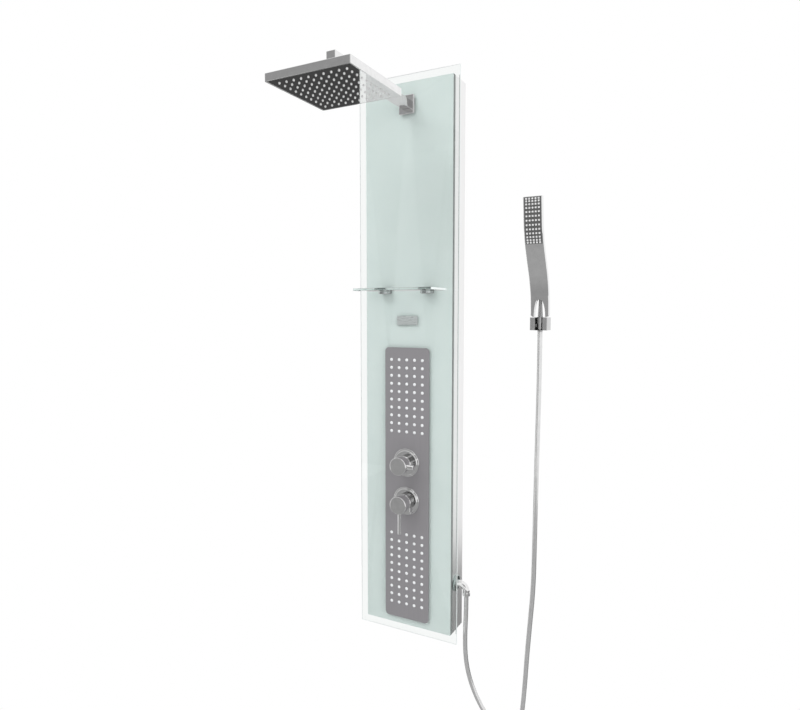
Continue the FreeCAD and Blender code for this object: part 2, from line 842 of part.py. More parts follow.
def shelf_clamps():
    """The shelf's two equal clamps."""
    pair = doc.addObject("Part::Compound", "shelf_clamps")
    pair.Links = [shelf_clamp(-1), shelf_clamp(1)]
    keep(pair, "shelf_clamps")


# ---- arm and overhead shower ----

def arm_flange():
    """Rectangular flange around the arm's foot."""
    body = flat_piece("arm_flange", S.flange_w, S.flange_h, S.flange_t)
    hole = new_sketch(body, "XZ_Plane")
    draw_box(hole, S.arm_side + S.seat_gap * 2, S.arm_side + S.seat_gap * 2)
    pocket(body, hole, reverse=True)
    edge_x, edge_z = S.flange_w / 2, S.flange_h / 2

    def outer_front(edge):
        if not lies_at(edge, "y", -S.flange_t):
            return False
        sides = [("x", edge_x), ("x", -edge_x), ("z", edge_z), ("z", -edge_z)]
        return any(lies_at(edge, axis, value) for axis, value in sides)

    bevel_edges(body, S.flange_t / 8, outer_front)
    place(body, 0, GLASS_FRONT, S.arm_z)


def shower_arm():
    """Straight square arm with its spigot through the glass and the collar for the ball."""
    body = new_body("shower_arm")
    bar = new_sketch(body, "XZ_Plane")
    draw_box(bar, S.arm_side, S.arm_side)
    pad(body, bar, S.arm_reach)
    round_edges(body, S.arm_edge, lambda edge: runs_along(edge, Y_AXIS) or
                lies_at(edge, "y", -S.arm_reach))
    spigot = new_sketch(body, "XZ_Plane")
    draw_circle(spigot, S.spigot_d)
    pad(body, spigot, S.spigot_back, reverse=True)
    collar = new_sketch(body, "XY_Plane", -(S.arm_side / 2 + S.drop_h))
    draw_circle(collar, S.drop_d, 0, -S.head_reach)
    pad(body, collar, S.drop_h + S.arm_edge)
    place(body, 0, GLASS_FRONT, S.arm_z)


def arm_lock_nut():
    """Hexagonal nut that clamps the arm behind the sheet."""
    nut = solid("Prism", Circumradius=S.nut_af / math.sqrt(3), Height=S.nut_t)
    nut.Polygon = 6
    bore = cylinder(S.spigot_d + S.run_fit * 2, S.nut_t + 2, z=-1)
    ring = cut(nut, bore)
    keep(place(ring, 0, SHEET_BACK + S.nut_t, S.arm_z, TO_FRONT), "arm_lock_nut")


def arm_inlet_elbow():
    """Brass elbow from the riser into the arm's spigot."""
    start = GLASS_FRONT + S.spigot_back
    length = PIPE_Y + S.pipe_d - start
    barrel = cylinder(S.cross_d, length, 0, start, S.arm_z, TO_WALL)
    port = cylinder(S.port_d, S.cross_d, 0, PIPE_Y, S.arm_z, TO_RIGHT)
    bore = cylinder(S.pipe_d, S.cross_d + 1, 0, PIPE_Y, S.arm_z, TO_RIGHT)
    keep(cut(fuse(barrel, port), bore), "arm_inlet_elbow")


def swivel_ball():
    """Ball on a short neck under the arm's collar."""
    ball = sphere(S.ball_r, 0, HEAD_Y, BALL_Z)
    neck = cylinder(S.neck_r * 2, S.ball_drop, 0, HEAD_Y, BALL_Z)
    keep(fuse(ball, neck), "swivel_ball")


def ball_friction_ring():
    """Plastic ring that grips the ball; the head swings across it."""
    inner = S.ball_r + S.run_fit
    outer = inner + S.ring_t
    shell = cut(sphere(outer), sphere(inner))
    half = outer * 0.6
    band = cylinder(outer * 2 + 2, half * 2, z=-half)
    ring = common(shell, band)
    keep(place(ring, 0, HEAD_Y, BALL_Z), "ball_friction_ring")


def head_socket():
    """Chrome nut on the head's back that holds the ring and the ball."""
    cavity = S.ball_r + S.ring_t + S.run_fit * 2
    drum = cylinder(S.socket_r * 2, S.ball_over_head + S.socket_up, z=-S.ball_over_head)
    socket = cut(drum, sphere(cavity))
    keep(place(socket, 0, HEAD_Y, BALL_Z), "head_socket")


def head_shell():
    """Square housing of the overhead shower, open below."""
    body = new_body("head_shell")
    outer = new_sketch(body, "XY_Plane")
    draw_box(outer, S.head_side, S.head_side)
    pad(body, outer, S.head_t)
    inner = new_sketch(body, "XY_Plane")
    room = S.head_side - S.head_wall * 2
    draw_box(inner, room, room)
    pocket(body, inner, S.head_t - S.head_roof, reverse=True)
    half = S.head_side / 2
    round_edges(body, S.head_wall / 2, lambda edge: runs_along(edge, Z_AXIS) and
                abs(edge.Vertexes[0].X) > float(half) - 0.1)
    bevel_edges(body, S.head_wall / 3, lambda edge: lies_at(edge, "z", S.head_t))
    place(body, 0, HEAD_Y, HEAD_LOW)


def head_chamber():
    """Water chamber inside the head, open to the face plate."""
    body = new_body("head_chamber")
    side = S.head_side - (S.head_wall + S.chamber_play) * 2
    height = S.head_t - S.head_roof - S.face_inset - S.face_t
    outer = new_sketch(body, "XY_Plane")
    draw_box(outer, side, side)
    pad(body, outer, height)
    inner = new_sketch(body, "XY_Plane")
    draw_box(inner, side - S.chamber_wall * 2, side - S.chamber_wall * 2)
    pocket(body, inner, height - S.chamber_wall, reverse=True)
    place(body, 0, HEAD_Y, HEAD_LOW + S.face_inset + S.face_t)


def head_face_plate():
    """Polished plate under the head that carries the nozzles."""
    body = new_body("head_face_plate")
    side = S.head_side - (S.head_wall + S.seat_gap) * 2
    sketch = new_sketch(body, "XY_Plane")
    draw_box(sketch, side, side)
    pad(body, sketch, S.face_t)
    place(body, 0, HEAD_Y, HEAD_LOW + S.face_inset)


def head_nozzles():
    """Square field of rubber nozzles under the face plate."""
    middle = (HEAD_NOZZLES - 1) / 2
    nozzles = []
    for column in range(HEAD_NOZZLES):
        for row in range(HEAD_NOZZLES):
            x = float(S.nozzle_pitch) * (column - middle)
            y = float(S.nozzle_pitch) * (row - middle)
            foot = FreeCAD.Vector(x, y, 0)
            size = (float(S.nozzle_d) / 2, float(S.nozzle_out), NOZZLE_SIDES)
            nozzles.append(nozzle(foot, -Z_AXIS, X_AXIS, *size))
    shaped("head_nozzles", Part.makeCompound(nozzles), 0, HEAD_Y, HEAD_LOW + S.face_inset)


# ---- valves ----

def valve_rosette(label, height):
    """Stepped round cover on the control plate."""
    rim, step, bore = S.rosette_d / 2, S.rosette_step_d / 2, S.rosette_bore / 2
    edge = S.rosette_edge
    top = S.rosette_t
    bevel = S.knob_bevel
    body = turned_piece(label, [
        (bore, 0), (rim, 0), (rim, edge - bevel), (rim - bevel, edge), (step, edge),
        (step, top - bevel), (step - bevel, top), (bore, top),
    ])
    place(body, 0, PLATE_FRONT, height, TO_FRONT)


def hollow_cap(label, height):
    """A round knob: a cap with a thick front and a bevelled rim."""
    radius, wall = S.knob_d / 2, S.knob_wall
    depth = S.knob_front - S.knob_back
    bevel = S.knob_bevel
    front = depth - wall * 5 / 3
    body = turned_piece(label, [
        (radius - wall, 0), (radius, 0), (radius, depth - bevel), (radius - bevel, depth),
        (0, depth), (0, front), (radius - wall, front),
    ])
    place(body, 0, GLASS_FRONT - S.knob_back, height, TO_FRONT)
    return body


def mixer_handle():
    """Round handle with the lever's hole in its underside."""
    body = hollow_cap("mixer_handle", S.mixer_z)
    hole = new_sketch(body, "XZ_Plane")
    draw_circle(hole, S.lever_d + S.run_fit * 2, 0, S.lever_out - S.knob_back)
    pocket(body, hole, reverse=True)


def diverter_knob():
    """Round knob with the grip's hole in its right side."""
    body = hollow_cap("diverter_knob", S.diverter_z)
    hole = new_sketch(body, "YZ_Plane")
    draw_circle(hole, S.stub_d + S.run_fit * 2, 0, S.lever_out - S.knob_back)
    pocket(body, hole, reverse=True)


def cartridge(label, height):
    """Ceramic cartridge with a bore for its turning shaft."""
    outer, bore = S.cartridge_d / 2, S.shaft_d / 2 + S.run_fit
    length = S.cartridge_back + S.cartridge_out
    body = turned_piece(label, [
        (0, 0), (outer, 0), (outer, length), (bore, length), (bore, S.cartridge_back),
        (0, S.cartridge_back),
    ])
    place(body, 0, GLASS_FRONT + S.cartridge_back, height, TO_FRONT)


def valve_barrel(height):
    """The round body of a valve, without its bore."""
    length = S.valve_back + S.plate_t
    return cylinder(S.valve_d, length, 0, GLASS_FRONT + S.valve_back, height, TO_FRONT)


def cartridge_bore(height):
    """The seat that a valve body has for its cartridge."""
    length = S.cartridge_back + S.plate_t + 1
    size = S.cartridge_d + S.run_fit * 2
    return cylinder(size, length, 0, GLASS_FRONT + S.cartridge_back, height, TO_FRONT)


def mixer_body():
    """Brass mixer body: barrel, cross pipe and two inlet nipples towards the wall."""
    barrel = valve_barrel(S.mixer_z)
    left = -(S.inlet_dx / 2)
    right = S.inlet_dx / 2
    cross = cylinder(S.cross_d, S.inlet_dx, left, PIPE_Y, S.mixer_z, TO_RIGHT)
    joined = [barrel, cross]
    bores = [cartridge_bore(S.mixer_z)]
    reach = -PIPE_Y - S.inlet_gap
    for x in (left, right):
        joined.append(sphere(S.cross_d / 2, x, PIPE_Y, S.mixer_z))
        joined.append(cylinder(S.inlet_d, reach, x, PIPE_Y, S.mixer_z, TO_WALL))
        collar = reach - S.inlet_thread
        joined.append(cylinder(S.cross_d, collar, x, PIPE_Y, S.mixer_z, TO_WALL))
        bores.append(cylinder(S.inlet_bore, reach + 1, x, PIPE_Y, S.mixer_z, TO_WALL))
    port_h = S.pipe_d * 2
    joined.append(cylinder(S.port_d, port_h, 0, PIPE_Y, S.mixer_z))
    bores.append(cylinder(S.pipe_d, S.pipe_d, 0, PIPE_Y, S.mixer_z + S.pipe_d))
    keep(cut(fuse(*joined), *bores), "mixer_body")


def diverter_body():
    """Brass diverter body with a port below, above and left and two on the right."""
    barrel = valve_barrel(S.diverter_z)
    length = S.pipe_d * 2
    ports = [(0, 0, FreeCAD.Rotation()), (0, 0, FreeCAD.Rotation(X_AXIS, 180)), (0, 0, TO_LEFT)]
    ports += [(0, S.twin_port / 2, TO_RIGHT), (0, -(S.twin_port / 2), TO_RIGHT)]
    joined = [barrel]
    bores = [cartridge_bore(S.diverter_z)]
    for x, lift, turn in ports:
        joined.append(cylinder(S.port_d, length, x, PIPE_Y, S.diverter_z + lift, turn))
        seat = turn.multVec(Z_AXIS)
        start = (S.pipe_d * seat.x, PIPE_Y, S.diverter_z + lift + S.pipe_d * seat.z)
        bores.append(cylinder(S.pipe_d, S.pipe_d, *start, turn))
    keep(cut(fuse(*joined), *bores), "diverter_body")


def mixer_dome():
    """Fixed chrome dome that closes the mixer handle's open back at every tilt."""
    base = S.plate_t + S.rosette_t
    zone = cylinder(S.dome_r * 2 + 2, S.dome_r, z=base)
    shell = cut(sphere(S.dome_r, z=S.pivot_out), sphere(S.dome_r - S.dome_wall, z=S.pivot_out))
    hole = cylinder(S.dome_hole, S.dome_r * 2, z=S.pivot_out)
    dome = cut(common(shell, zone), hole)
    keep(place(dome, 0, GLASS_FRONT, S.mixer_z, TO_FRONT), "mixer_dome")


def mixer_carrier():
    """Turning fork on the cartridge: it turns for temperature and holds the lever's pivot."""
    foot = S.cartridge_out + S.seat_gap
    disc = cylinder(S.carrier_d, S.carrier_t, z=foot)
    shaft = cylinder(S.shaft_d, foot - 1, z=1)
    top = S.pivot_out + S.pin_d * 4 / 3
    ears = []
    for side in (-1, 1):
        ear = solid("Box", Length=S.fork_t, Width=S.carrier_d / 2, Height=top - foot)
        edge = S.fork_gap / 2 if side > 0 else -(S.fork_gap / 2 + S.fork_t)
        ears.append(place(ear, edge, -(S.carrier_d / 4), foot))
    hole = cylinder(S.pin_d, S.carrier_d * 2, -S.carrier_d, 0, S.pivot_out, TO_RIGHT)
    fork = cut(fuse(disc, shaft, *ears), hole)
    keep(place(fork, 0, GLASS_FRONT, S.mixer_z, TO_FRONT), "mixer_carrier")


def mixer_pivot_pin():
    """Cross pin through the fork and the lever's stem."""
    length = S.fork_gap + S.fork_t * 2
    pin = cylinder(S.pin_d, length, -(length / 2), GLASS_FRONT - S.pivot_out, S.mixer_z, TO_RIGHT)
    keep(pin, "mixer_pivot_pin")


def mixer_stem():
    """Square stem that tilts on the pin and carries the handle."""
    inside = S.knob_front - S.knob_wall * 5 / 3
    side = S.stem_side
    half = side / 2
    bar = solid("Box", Length=side, Width=side, Height=inside - S.pivot_out)
    place(bar, -half, -half, S.pivot_out)
    eye = cylinder(side, side, -half, 0, S.pivot_out, TO_RIGHT)
    hole = cylinder(S.pin_d + S.run_fit, side * 2, -side, 0, S.pivot_out, TO_RIGHT)
    stem = cut(fuse(bar, eye), hole)
    keep(place(stem, 0, GLASS_FRONT, S.mixer_z, TO_FRONT), "mixer_stem")


def mixer_lever_pin():
    """Slim lever pin that hangs from the mixer handle, rounded at its end."""
    radius = S.lever_d / 2
    bevel = S.knob_bevel
    length = S.lever_len + S.grip_sunk
    body = turned_piece("mixer_lever_pin", [
        (0, 0), (radius, 0), (radius, length - bevel), (radius - bevel, length), (0, length),
    ])
    foot = S.mixer_z - S.knob_d / 2 + S.grip_sunk
    place(body, 0, GLASS_FRONT - S.lever_out, foot, FreeCAD.Rotation(X_AXIS, 180))


def diverter_collar():
    """Fixed chrome collar behind the diverter knob."""
    outer = S.knob_d / 2 - S.knob_wall / 2
    inner = S.cartridge_d / 2 + S.seat_gap
    length = S.knob_back - S.plate_t - S.rosette_t - S.seat_gap
    body = turned_piece("diverter_collar", [
        (inner, 0), (outer, 0), (outer, length), (inner, length),
    ])
    place(body, 0, PLATE_FRONT - S.rosette_t, S.diverter_z, TO_FRONT)


def diverter_stem():
    """Shaft from the diverter cartridge to its knob."""
    start = S.plate_t / 3
    end = S.knob_front - S.knob_wall * 5 / 3
    shaft = cylinder(S.shaft_d, end - start, z=start)
    keep(place(shaft, 0, GLASS_FRONT, S.diverter_z, TO_FRONT), "diverter_stem")


def diverter_stub():
    """Short round grip on the diverter knob's right side."""
    radius = S.stub_d / 2
    bevel = S.knob_bevel
    length = S.stub_len + S.grip_sunk
    body = turned_piece("diverter_stub", [
        (0, 0), (radius, 0), (radius, length - bevel), (radius - bevel, length), (0, length),
    ])
    place(body, S.knob_d / 2 - S.grip_sunk, GLASS_FRONT - S.lever_out, S.diverter_z, TO_RIGHT)


# ---- pipes inside the housing ----

def inner_pipes():
    """Pipes from the mixer to the diverter and on to the four outlets."""
    port = S.pipe_d * 2
    low = S.diverter_z - port + S.pipe_d
    high = S.diverter_z + port - S.pipe_d
    bend = S.pipe_bend
    side = S.side_run_x
    link = cylinder(S.pipe_d, low - (S.mixer_z + S.pipe_d), 0, PIPE_Y, S.mixer_z + S.pipe_d)
    keep(link, "mixer_link_pipe")
    upper_end = UPPER_JETS_LOW + S.port_up - S.chamber_rim - S.port_d / 2
    keep(cylinder(S.pipe_d, upper_end - high, 0, PIPE_Y, high), "upper_jets_pipe")
    riser_z = S.diverter_z + S.twin_port / 2
    bent_pipe("head_riser_pipe", [
        (S.pipe_d, PIPE_Y, riser_z), (S.riser_x, PIPE_Y, riser_z),
        (S.riser_x, PIPE_Y, S.arm_z), (S.cross_d / 2, PIPE_Y, S.arm_z),
    ], bend)
    lower_z = S.lower_jets_top + S.chamber_rim - S.port_up
    bent_pipe("lower_jets_pipe", [
        (-S.pipe_d, PIPE_Y, S.diverter_z), (-side, PIPE_Y, S.diverter_z),
        (-side, PIPE_Y, lower_z), (-(S.port_d / 2), PIPE_Y, lower_z),
    ], bend)
    feed_z = S.diverter_z - S.twin_port / 2
    bent_pipe("handset_feed_pipe", [
        (S.pipe_d, PIPE_Y, feed_z), (side, PIPE_Y, feed_z),
        (side, PIPE_Y, S.outlet_z), (OUTLET_X - S.elbow_inside, PIPE_Y, S.outlet_z),
    ], bend)


# ---- side outlet and hose ----

def outlet_rosette():
    """Round cover on the housing's right side."""
    radius, bore = S.outlet_rosette_d / 2, S.outlet_hole / 2 + S.seat_gap
    height, bevel = S.outlet_rosette_t, S.outlet_rosette_t / 2
    body = turned_piece("outlet_rosette", [
        (bore, 0), (radius, 0), (radius, height - bevel), (radius - bevel, height), (bore, height),
    ])
    place(body, OUTLET_X, PIPE_Y, S.outlet_z, TO_RIGHT)


def outlet_elbow():
    """Elbow that comes out of the housing's side and turns down to the hose."""
    start = float(OUTLET_X - S.elbow_inside)
    y, z = float(PIPE_Y), float(S.outlet_z)
    bend = float(S.elbow_bend)
    spots = [
        FreeCAD.Vector(start, y, z),
        FreeCAD.Vector(float(ELBOW_X), y, z),
        FreeCAD.Vector(float(ELBOW_X), y, z - bend - float(S.elbow_drop)),
    ]
    path = rounded_wire(spots, [bend])
    outer = sweep_round(path, float(S.elbow_d))
    shaped("outlet_elbow", outer.cut(sweep_round(path, float(S.elbow_bore))))


def hose_nut():
    """Hexagonal nut of the hose on the elbow."""
    nut = solid("Prism", Circumradius=S.hose_nut_d / 2, Height=S.hose_nut_h)
    nut.Polygon = 6
    keep(place(nut, ELBOW_X, PIPE_Y, HOSE_START_Z), "hose_nut")


def shower_hose():
    """The hose: straight runs joined by arcs as large as the runs allow."""
    ends = [(ELBOW_X, PIPE_Y, HOSE_START_Z), (S.holder_x, S.cone_y, CONE_LOW)]
    route = [ends[0], *HOSE_ROUTE, ends[1]]
    spots = [FreeCAD.Vector(*(float(value) for value in point)) for point in route]
    radii = []
    for before, corner, after in zip(spots, spots[1:], spots[2:]):
        into, out = corner - before, after - corner
        shorter = min(into.Length, out.Length)
        radii.append(HOSE_ARC_SHARE * shorter / math.tan(into.getAngle(out) / 2))
    path = rounded_wire(spots, radii)
    hose = sweep_round(path, float(S.hose_d))
    section = math.pi * float(S.hose_d) ** 2 / 4
    print("hose: length %.1f mm, volume over section x length %.5f"
          % (path.Length, hose.Volume / (section * path.Length)))
    print("hose: arc radii", [round(radius) for radius in radii])
    shaped("shower_hose", hose)


# ---- hand shower and holder ----

def holder_body():
    """Square wall holder with an open slot for the cone."""
    body = new_body("holder_body")
    half, slot = S.holder_w / 2, S.holder_slot / 2
    front, back = -S.holder_depth, -S.holder_back
    sketch = new_sketch(body, "XY_Plane")
    draw_outline(sketch, [
        (-half, 0), (-half, front), (-slot, front), (-slot, back),
        (slot, back), (slot, front), (half, front), (half, 0),
    ])
    pad(body, sketch, S.holder_h)
    holes = new_sketch(body, "XZ_Plane")
    for side in (-1, 1):
        draw_circle(holes, S.holder_screw_hole, 0, S.holder_h / 2 + S.holder_screw_dz / 2 * side)
    pocket(body, holes, reverse=True)
    round_edges(body, S.holder_edge, lambda edge: runs_along(edge, Z_AXIS) and
                lies_at(edge, "y", front))
    place(body, S.holder_x, 0, S.holder_z)


def holder_seat():
    """Plastic seat between the jaws, tapered for the cone and open in front."""
    height = S.seat_h
    low = S.seat_up + S.cone_below
    slope = (S.cone_top_d - S.cone_low_d) / 2 / S.cone_h
    low_r = S.cone_low_d / 2 + slope * low + S.seat_play
    high_r = low_r + slope * height
    depth = S.seat_front - S.holder_back
    slab = block(S.holder_slot, depth, height, 0, -S.seat_front, 0)
    taper = place(solid("Cone", Radius1=low_r, Radius2=high_r, Height=height), 0, S.cone_y, 0)
    gate = block(S.seat_slot, S.seat_front + S.cone_y + 1, height, 0, -(S.seat_front + 1), 0)
    seat = cut(slab, taper, gate)
    keep(place(seat, S.holder_x, 0, S.holder_z + S.seat_up), "holder_seat")


def hose_cone():
    """Tapered nut of the hose under the hand shower."""
    low, top = S.cone_low_d / 2, S.cone_top_d / 2
    thread = S.thread_d / 2 + S.run_fit
    body = turned_piece("hose_cone", [
        (0, 0), (low, 0), (top, S.cone_h - 3), (top, S.cone_h), (thread, S.cone_h),
        (thread, S.cone_h - S.thread_len - S.seat_gap), (0, S.cone_h - S.thread_len - S.seat_gap),
    ])
    place(body, S.holder_x, S.cone_y, CONE_LOW)


def handset_legs():
    """The hand shower's middle line from its foot up: length, first and last lean of each leg."""
    lean = math.radians(float(S.handset_lean))
    tip = math.radians(float(S.handset_tip_lean))
    return (
        (float(S.handset_foot), 0.0, 0.0),
        (float(S.lower_bend) * lean, 0.0, lean),
        (float(S.handset_waist), lean, lean),
        (float(S.upper_bend) * (lean - tip), lean, tip),
        (float(S.handset_tip), tip, tip),
    )


def handset_station(distance):
    """Point and lean on the middle line at a distance up from the foot."""
    spot = FreeCAD.Vector(0, 0, 0)
    for length, begin, end in handset_legs():
        share = min(distance / length, 1.0)
        lean = begin + (end - begin) * share
        if begin == end:
            spot += FreeCAD.Vector(0, -math.sin(begin), math.cos(begin)) * (length * share)
        else:
            radius = length / (end - begin)
            rise = math.sin(lean) - math.sin(begin)
            spot += FreeCAD.Vector(0, math.cos(lean) - math.cos(begin), rise) * radius
        distance -= length
        if distance <= 0:
            break
    return spot, lean


def beside(station, distance):
    """A point at a distance in front of the middle line at a station."""
    spot, lean = station
    return spot + FreeCAD.Vector(0, -math.cos(lean), -math.sin(lean)) * distance


def handset_band(back, front, width):
    """A band of the hand shower between two distances in front of its middle line."""
    edges = []
    for distance in (back, front):
        reached = 0.0
        for length, begin, end in handset_legs():
            marks = (reached + 1e-9, reached + length / 2, reached + length)
            first, middle, last = (beside(handset_station(mark), distance) for mark in marks)
            reached += length
            if begin == end:
                edges.append(Part.LineSegment(first, last).toShape())
            else:
                edges.append(Part.Arc(first, middle, last).toShape())
    for mark in (1e-9, reached):
        station = handset_station(mark)
        edges.append(Part.LineSegment(beside(station, back), beside(station, front)).toShape())
    outline = Part.Wire(Part.__sortEdges__(edges))
    outline.translate(FreeCAD.Vector(-width / 2, 0, 0))
    return Part.Face(outline).extrude(FreeCAD.Vector(width, 0, 0))


def handset_body():
    """Flat hand shower bent to a soft S, with an open arch round its tapered neck."""
    half_t, width = float(S.handset_t) / 2, float(S.handset_w)
    band = handset_band(-half_t, half_t, width)
    corners = [edge for edge in band.Edges if runs_along(edge, Y_AXIS) and lies_at(edge, "z", 0)]
    band = band.makeFillet(float(S.handset_corner), corners)
    long_edges = []
    for edge in band.Edges:
        flat = all(abs(abs(vertex.X) - width / 2) < 1e-4 for vertex in edge.Vertexes)
        if flat and not runs_along(edge, Y_AXIS) and edge.BoundBox.ZLength > 1.0:
            long_edges.append(edge)
    band = band.makeFillet(float(S.handset_edge), long_edges)
    centre = FreeCAD.Vector(0, -half_t * 8, 0)
    top = centre + Z_AXIS * float(S.arch_h)
    side = centre + X_AXIS * (float(S.arch_w) / 2)
    arch = Part.Ellipse(top, side, centre)
    hollow = Part.Face(Part.Wire([arch.toShape()])).extrude(Y_AXIS * (half_t * 16))
    band = band.cut(hollow)
    neck_h = float(S.arch_h) + float(S.handset_foot) / 2
    low_r, top_r = float(S.neck_low_d) / 2, float(S.neck_top_d) / 2
    neck = Part.makeCone(low_r, top_r, neck_h)
    thread = Part.makeCylinder(float(S.thread_d) / 2, float(S.thread_len + S.seat_gap))
    thread.translate(Z_AXIS * -float(S.thread_len + S.seat_gap))
    body = band.fuse([neck, thread]).removeSplitter()
    shaped("handset_body", body, S.holder_x, S.cone_y, CONE_TOP + S.seat_gap)


def handset_spray_plate():
    """Darker spray plate that follows the upper bend."""
    half_t = float(S.handset_t) / 2
    band = handset_band(half_t, half_t + float(S.spray_t), float(S.spray_w))
    top = band.BoundBox.ZMax - float(S.spray_end)
    window = Part.makeBox(float(S.handset_w), 400, float(S.spray_len))
    window.translate(FreeCAD.Vector(-float(S.handset_w) / 2, -300, top - float(S.spray_len)))
    shaped("handset_spray_plate", band.common(window), S.holder_x, S.cone_y, CONE_TOP + S.seat_gap)


def handset_nozzles():
    """Square nozzles in rows that close up towards both ends of the spray plate."""
    swing = math.radians(float(S.spray_swing))
    scale = float(S.spray_half) / math.sin(swing)
    reach = sum(length for length, _, _ in handset_legs())
    middle = reach - float(S.spray_end) - float(S.spray_len) / 2
    proud = float(S.handset_t) / 2 + float(S.spray_t)
    nozzles = []
    for row in range(SPRAY_ROWS):
        angle = swing * (2 * row / (SPRAY_ROWS - 1) - 1)
        station = handset_station(middle + scale * math.sin(angle))
        normal = FreeCAD.Vector(0, -math.cos(station[1]), -math.sin(station[1]))
        for column in range(SPRAY_COLUMNS):
            x = float(S.spray_dx) * (column - (SPRAY_COLUMNS - 1) / 2)
            foot = beside(station, proud) + X_AXIS * x
            size = (float(S.spray_nozzle) / math.sqrt(2), float(S.spray_nozzle_out), 4)
            nozzles.append(nozzle(foot, normal, X_AXIS, *size))
    shaped("handset_nozzles", Part.makeCompound(nozzles), S.holder_x, S.cone_y, CONE_TOP + S.seat_gap)


def build():
    """Make every sub-part."""
    front_glass()
    colour_panel()
    bonding_frame()
    side_profile("left_side_profile", -1)
    side_profile("right_side_profile", 1)
    end_cap("top_cap", 1)
    end_cap("bottom_cap", -1)
    wall_brackets()
    hanging_rail("upper_hanging_rail", 1)
    hanging_rail("lower_hanging_rail", -1)
    control_plate()
    jet_field("upper_jet_nozzles", S.upper_jets_top)
    jet_field("lower_jet_nozzles", S.lower_jets_top)
    jet_chamber("upper_jet_chamber", S.upper_jets_top, UPPER_JETS_LOW - S.chamber_rim + S.port_up)
    jet_chamber("lower_jet_chamber", S.lower_jets_top, S.lower_jets_top + S.chamber_rim - S.port_up)
    badge_plate()
    shelf_glass()
    shelf_clamps()
    arm_flange()
    shower_arm()
    arm_lock_nut()
    arm_inlet_elbow()
    swivel_ball()
    ball_friction_ring()
    head_socket()
    head_shell()
    head_chamber()
    head_face_plate()
    head_nozzles()
    valve_rosette("mixer_rosette", S.mixer_z)
    valve_rosette("diverter_rosette", S.diverter_z)
    mixer_body()
    cartridge("mixer_cartridge", S.mixer_z)
    mixer_dome()
    mixer_carrier()
    mixer_pivot_pin()
    mixer_stem()
    mixer_handle()
    mixer_lever_pin()
    diverter_body()
    cartridge("diverter_cartridge", S.diverter_z)
    diverter_collar()
    diverter_stem()
    diverter_knob()
    diverter_stub()
    inner_pipes()
    outlet_rosette()
    outlet_elbow()
    hose_nut()
    shower_hose()
    holder_body()
    holder_seat()
    hose_cone()
    handset_body()
    handset_spray_plate()
    handset_nozzles()


def check_and_write():
    """Stop on any failed object, then write one file per sub-part."""
    doc.recompute()
    for item in doc.Objects:
        if "Invalid" in item.State or "Error" in item.State:
            raise RuntimeError(f"{item.Label} ({item.Name}) failed: {item.State}")
    labels = [piece.Label for piece in pieces]
    if len(set(labels)) != len(labels):
        raise RuntimeError("two sub-parts share a name")
    os.makedirs("parts", exist_ok=True)
    for piece in pieces:
        shape = piece.Shape
        if shape.isNull() or not shape.isValid() or not shape.Solids:
            raise RuntimeError(f"{piece.Label}: no valid solid")
        shape.exportStep(f"parts/{piece.Label}.step")
    print(f"{len(pieces)} sub-parts written")


build()
check_and_write()
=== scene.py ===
import math

import bmesh
import bpy
import numpy as np
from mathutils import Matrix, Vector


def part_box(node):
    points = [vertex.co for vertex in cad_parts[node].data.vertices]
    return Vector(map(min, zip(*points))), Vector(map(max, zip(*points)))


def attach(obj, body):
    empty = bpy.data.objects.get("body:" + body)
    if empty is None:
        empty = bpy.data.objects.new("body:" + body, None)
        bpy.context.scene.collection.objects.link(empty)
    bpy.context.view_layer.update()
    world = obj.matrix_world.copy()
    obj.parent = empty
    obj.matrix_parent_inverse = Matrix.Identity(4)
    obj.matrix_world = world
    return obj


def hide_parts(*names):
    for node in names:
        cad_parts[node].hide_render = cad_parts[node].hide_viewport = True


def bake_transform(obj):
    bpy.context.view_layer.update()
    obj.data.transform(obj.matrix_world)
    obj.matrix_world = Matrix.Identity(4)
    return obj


# Looks of a wall-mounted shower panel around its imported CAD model.
# Lengths in this script are millimetres unless a name says metres; put() turns
# them into metres. Sizes that the CAD model holds are read from its nodes.
# Frame: +Z up, the wall is Y = 0, the user stands at -Y, +X is the user's right.

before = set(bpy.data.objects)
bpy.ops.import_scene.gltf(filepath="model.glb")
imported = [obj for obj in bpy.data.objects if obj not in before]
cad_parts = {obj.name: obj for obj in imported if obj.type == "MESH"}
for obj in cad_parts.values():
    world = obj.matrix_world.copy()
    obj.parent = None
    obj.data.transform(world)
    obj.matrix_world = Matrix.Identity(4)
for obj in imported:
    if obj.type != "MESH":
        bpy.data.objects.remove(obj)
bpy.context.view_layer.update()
scene = bpy.context.scene

METRE = 0.001

# ---- camera

CAMERA_PLACE = (755.4, -1554.3, 135.6)
CAMERA_YAW = 27.888  # degrees left of +Y
CAMERA_PITCH = -4.063  # degrees, looking slightly down
CAMERA_LENS = 27.77
SENSOR_WIDTH = 36.0


def add_camera():
    """The photograph's point of view."""
    data = bpy.data.cameras.new("view")
    data.lens = CAMERA_LENS
    data.sensor_width = SENSOR_WIDTH
    data.sensor_fit = "HORIZONTAL"
    camera = bpy.data.objects.new("view", data)
    camera.location = np.array(CAMERA_PLACE) * METRE
    camera.rotation_euler = (math.radians(90 + CAMERA_PITCH), 0, math.radians(CAMERA_YAW))
    scene.collection.objects.link(camera)
    scene.camera = camera


add_camera()
scene.view_settings.view_transform = "Standard"

# ---- frames and grids

# Columns: where a shape's own x, y and height go.
TO_USER = np.array([[1, 0, 0], [0, 0, -1], [0, 1, 0]], float)
UPRIGHT = np.eye(3)
TO_RIGHT = np.array([[0, 0, 1], [1, 0, 0], [0, 1, 0]], float)
DOWNWARD = np.array([[1, 0, 0], [0, -1, 0], [0, 0, -1]], float)
TO_WALL = np.array([[1, 0, 0], [0, 0, 1], [0, -1, 0]], float)

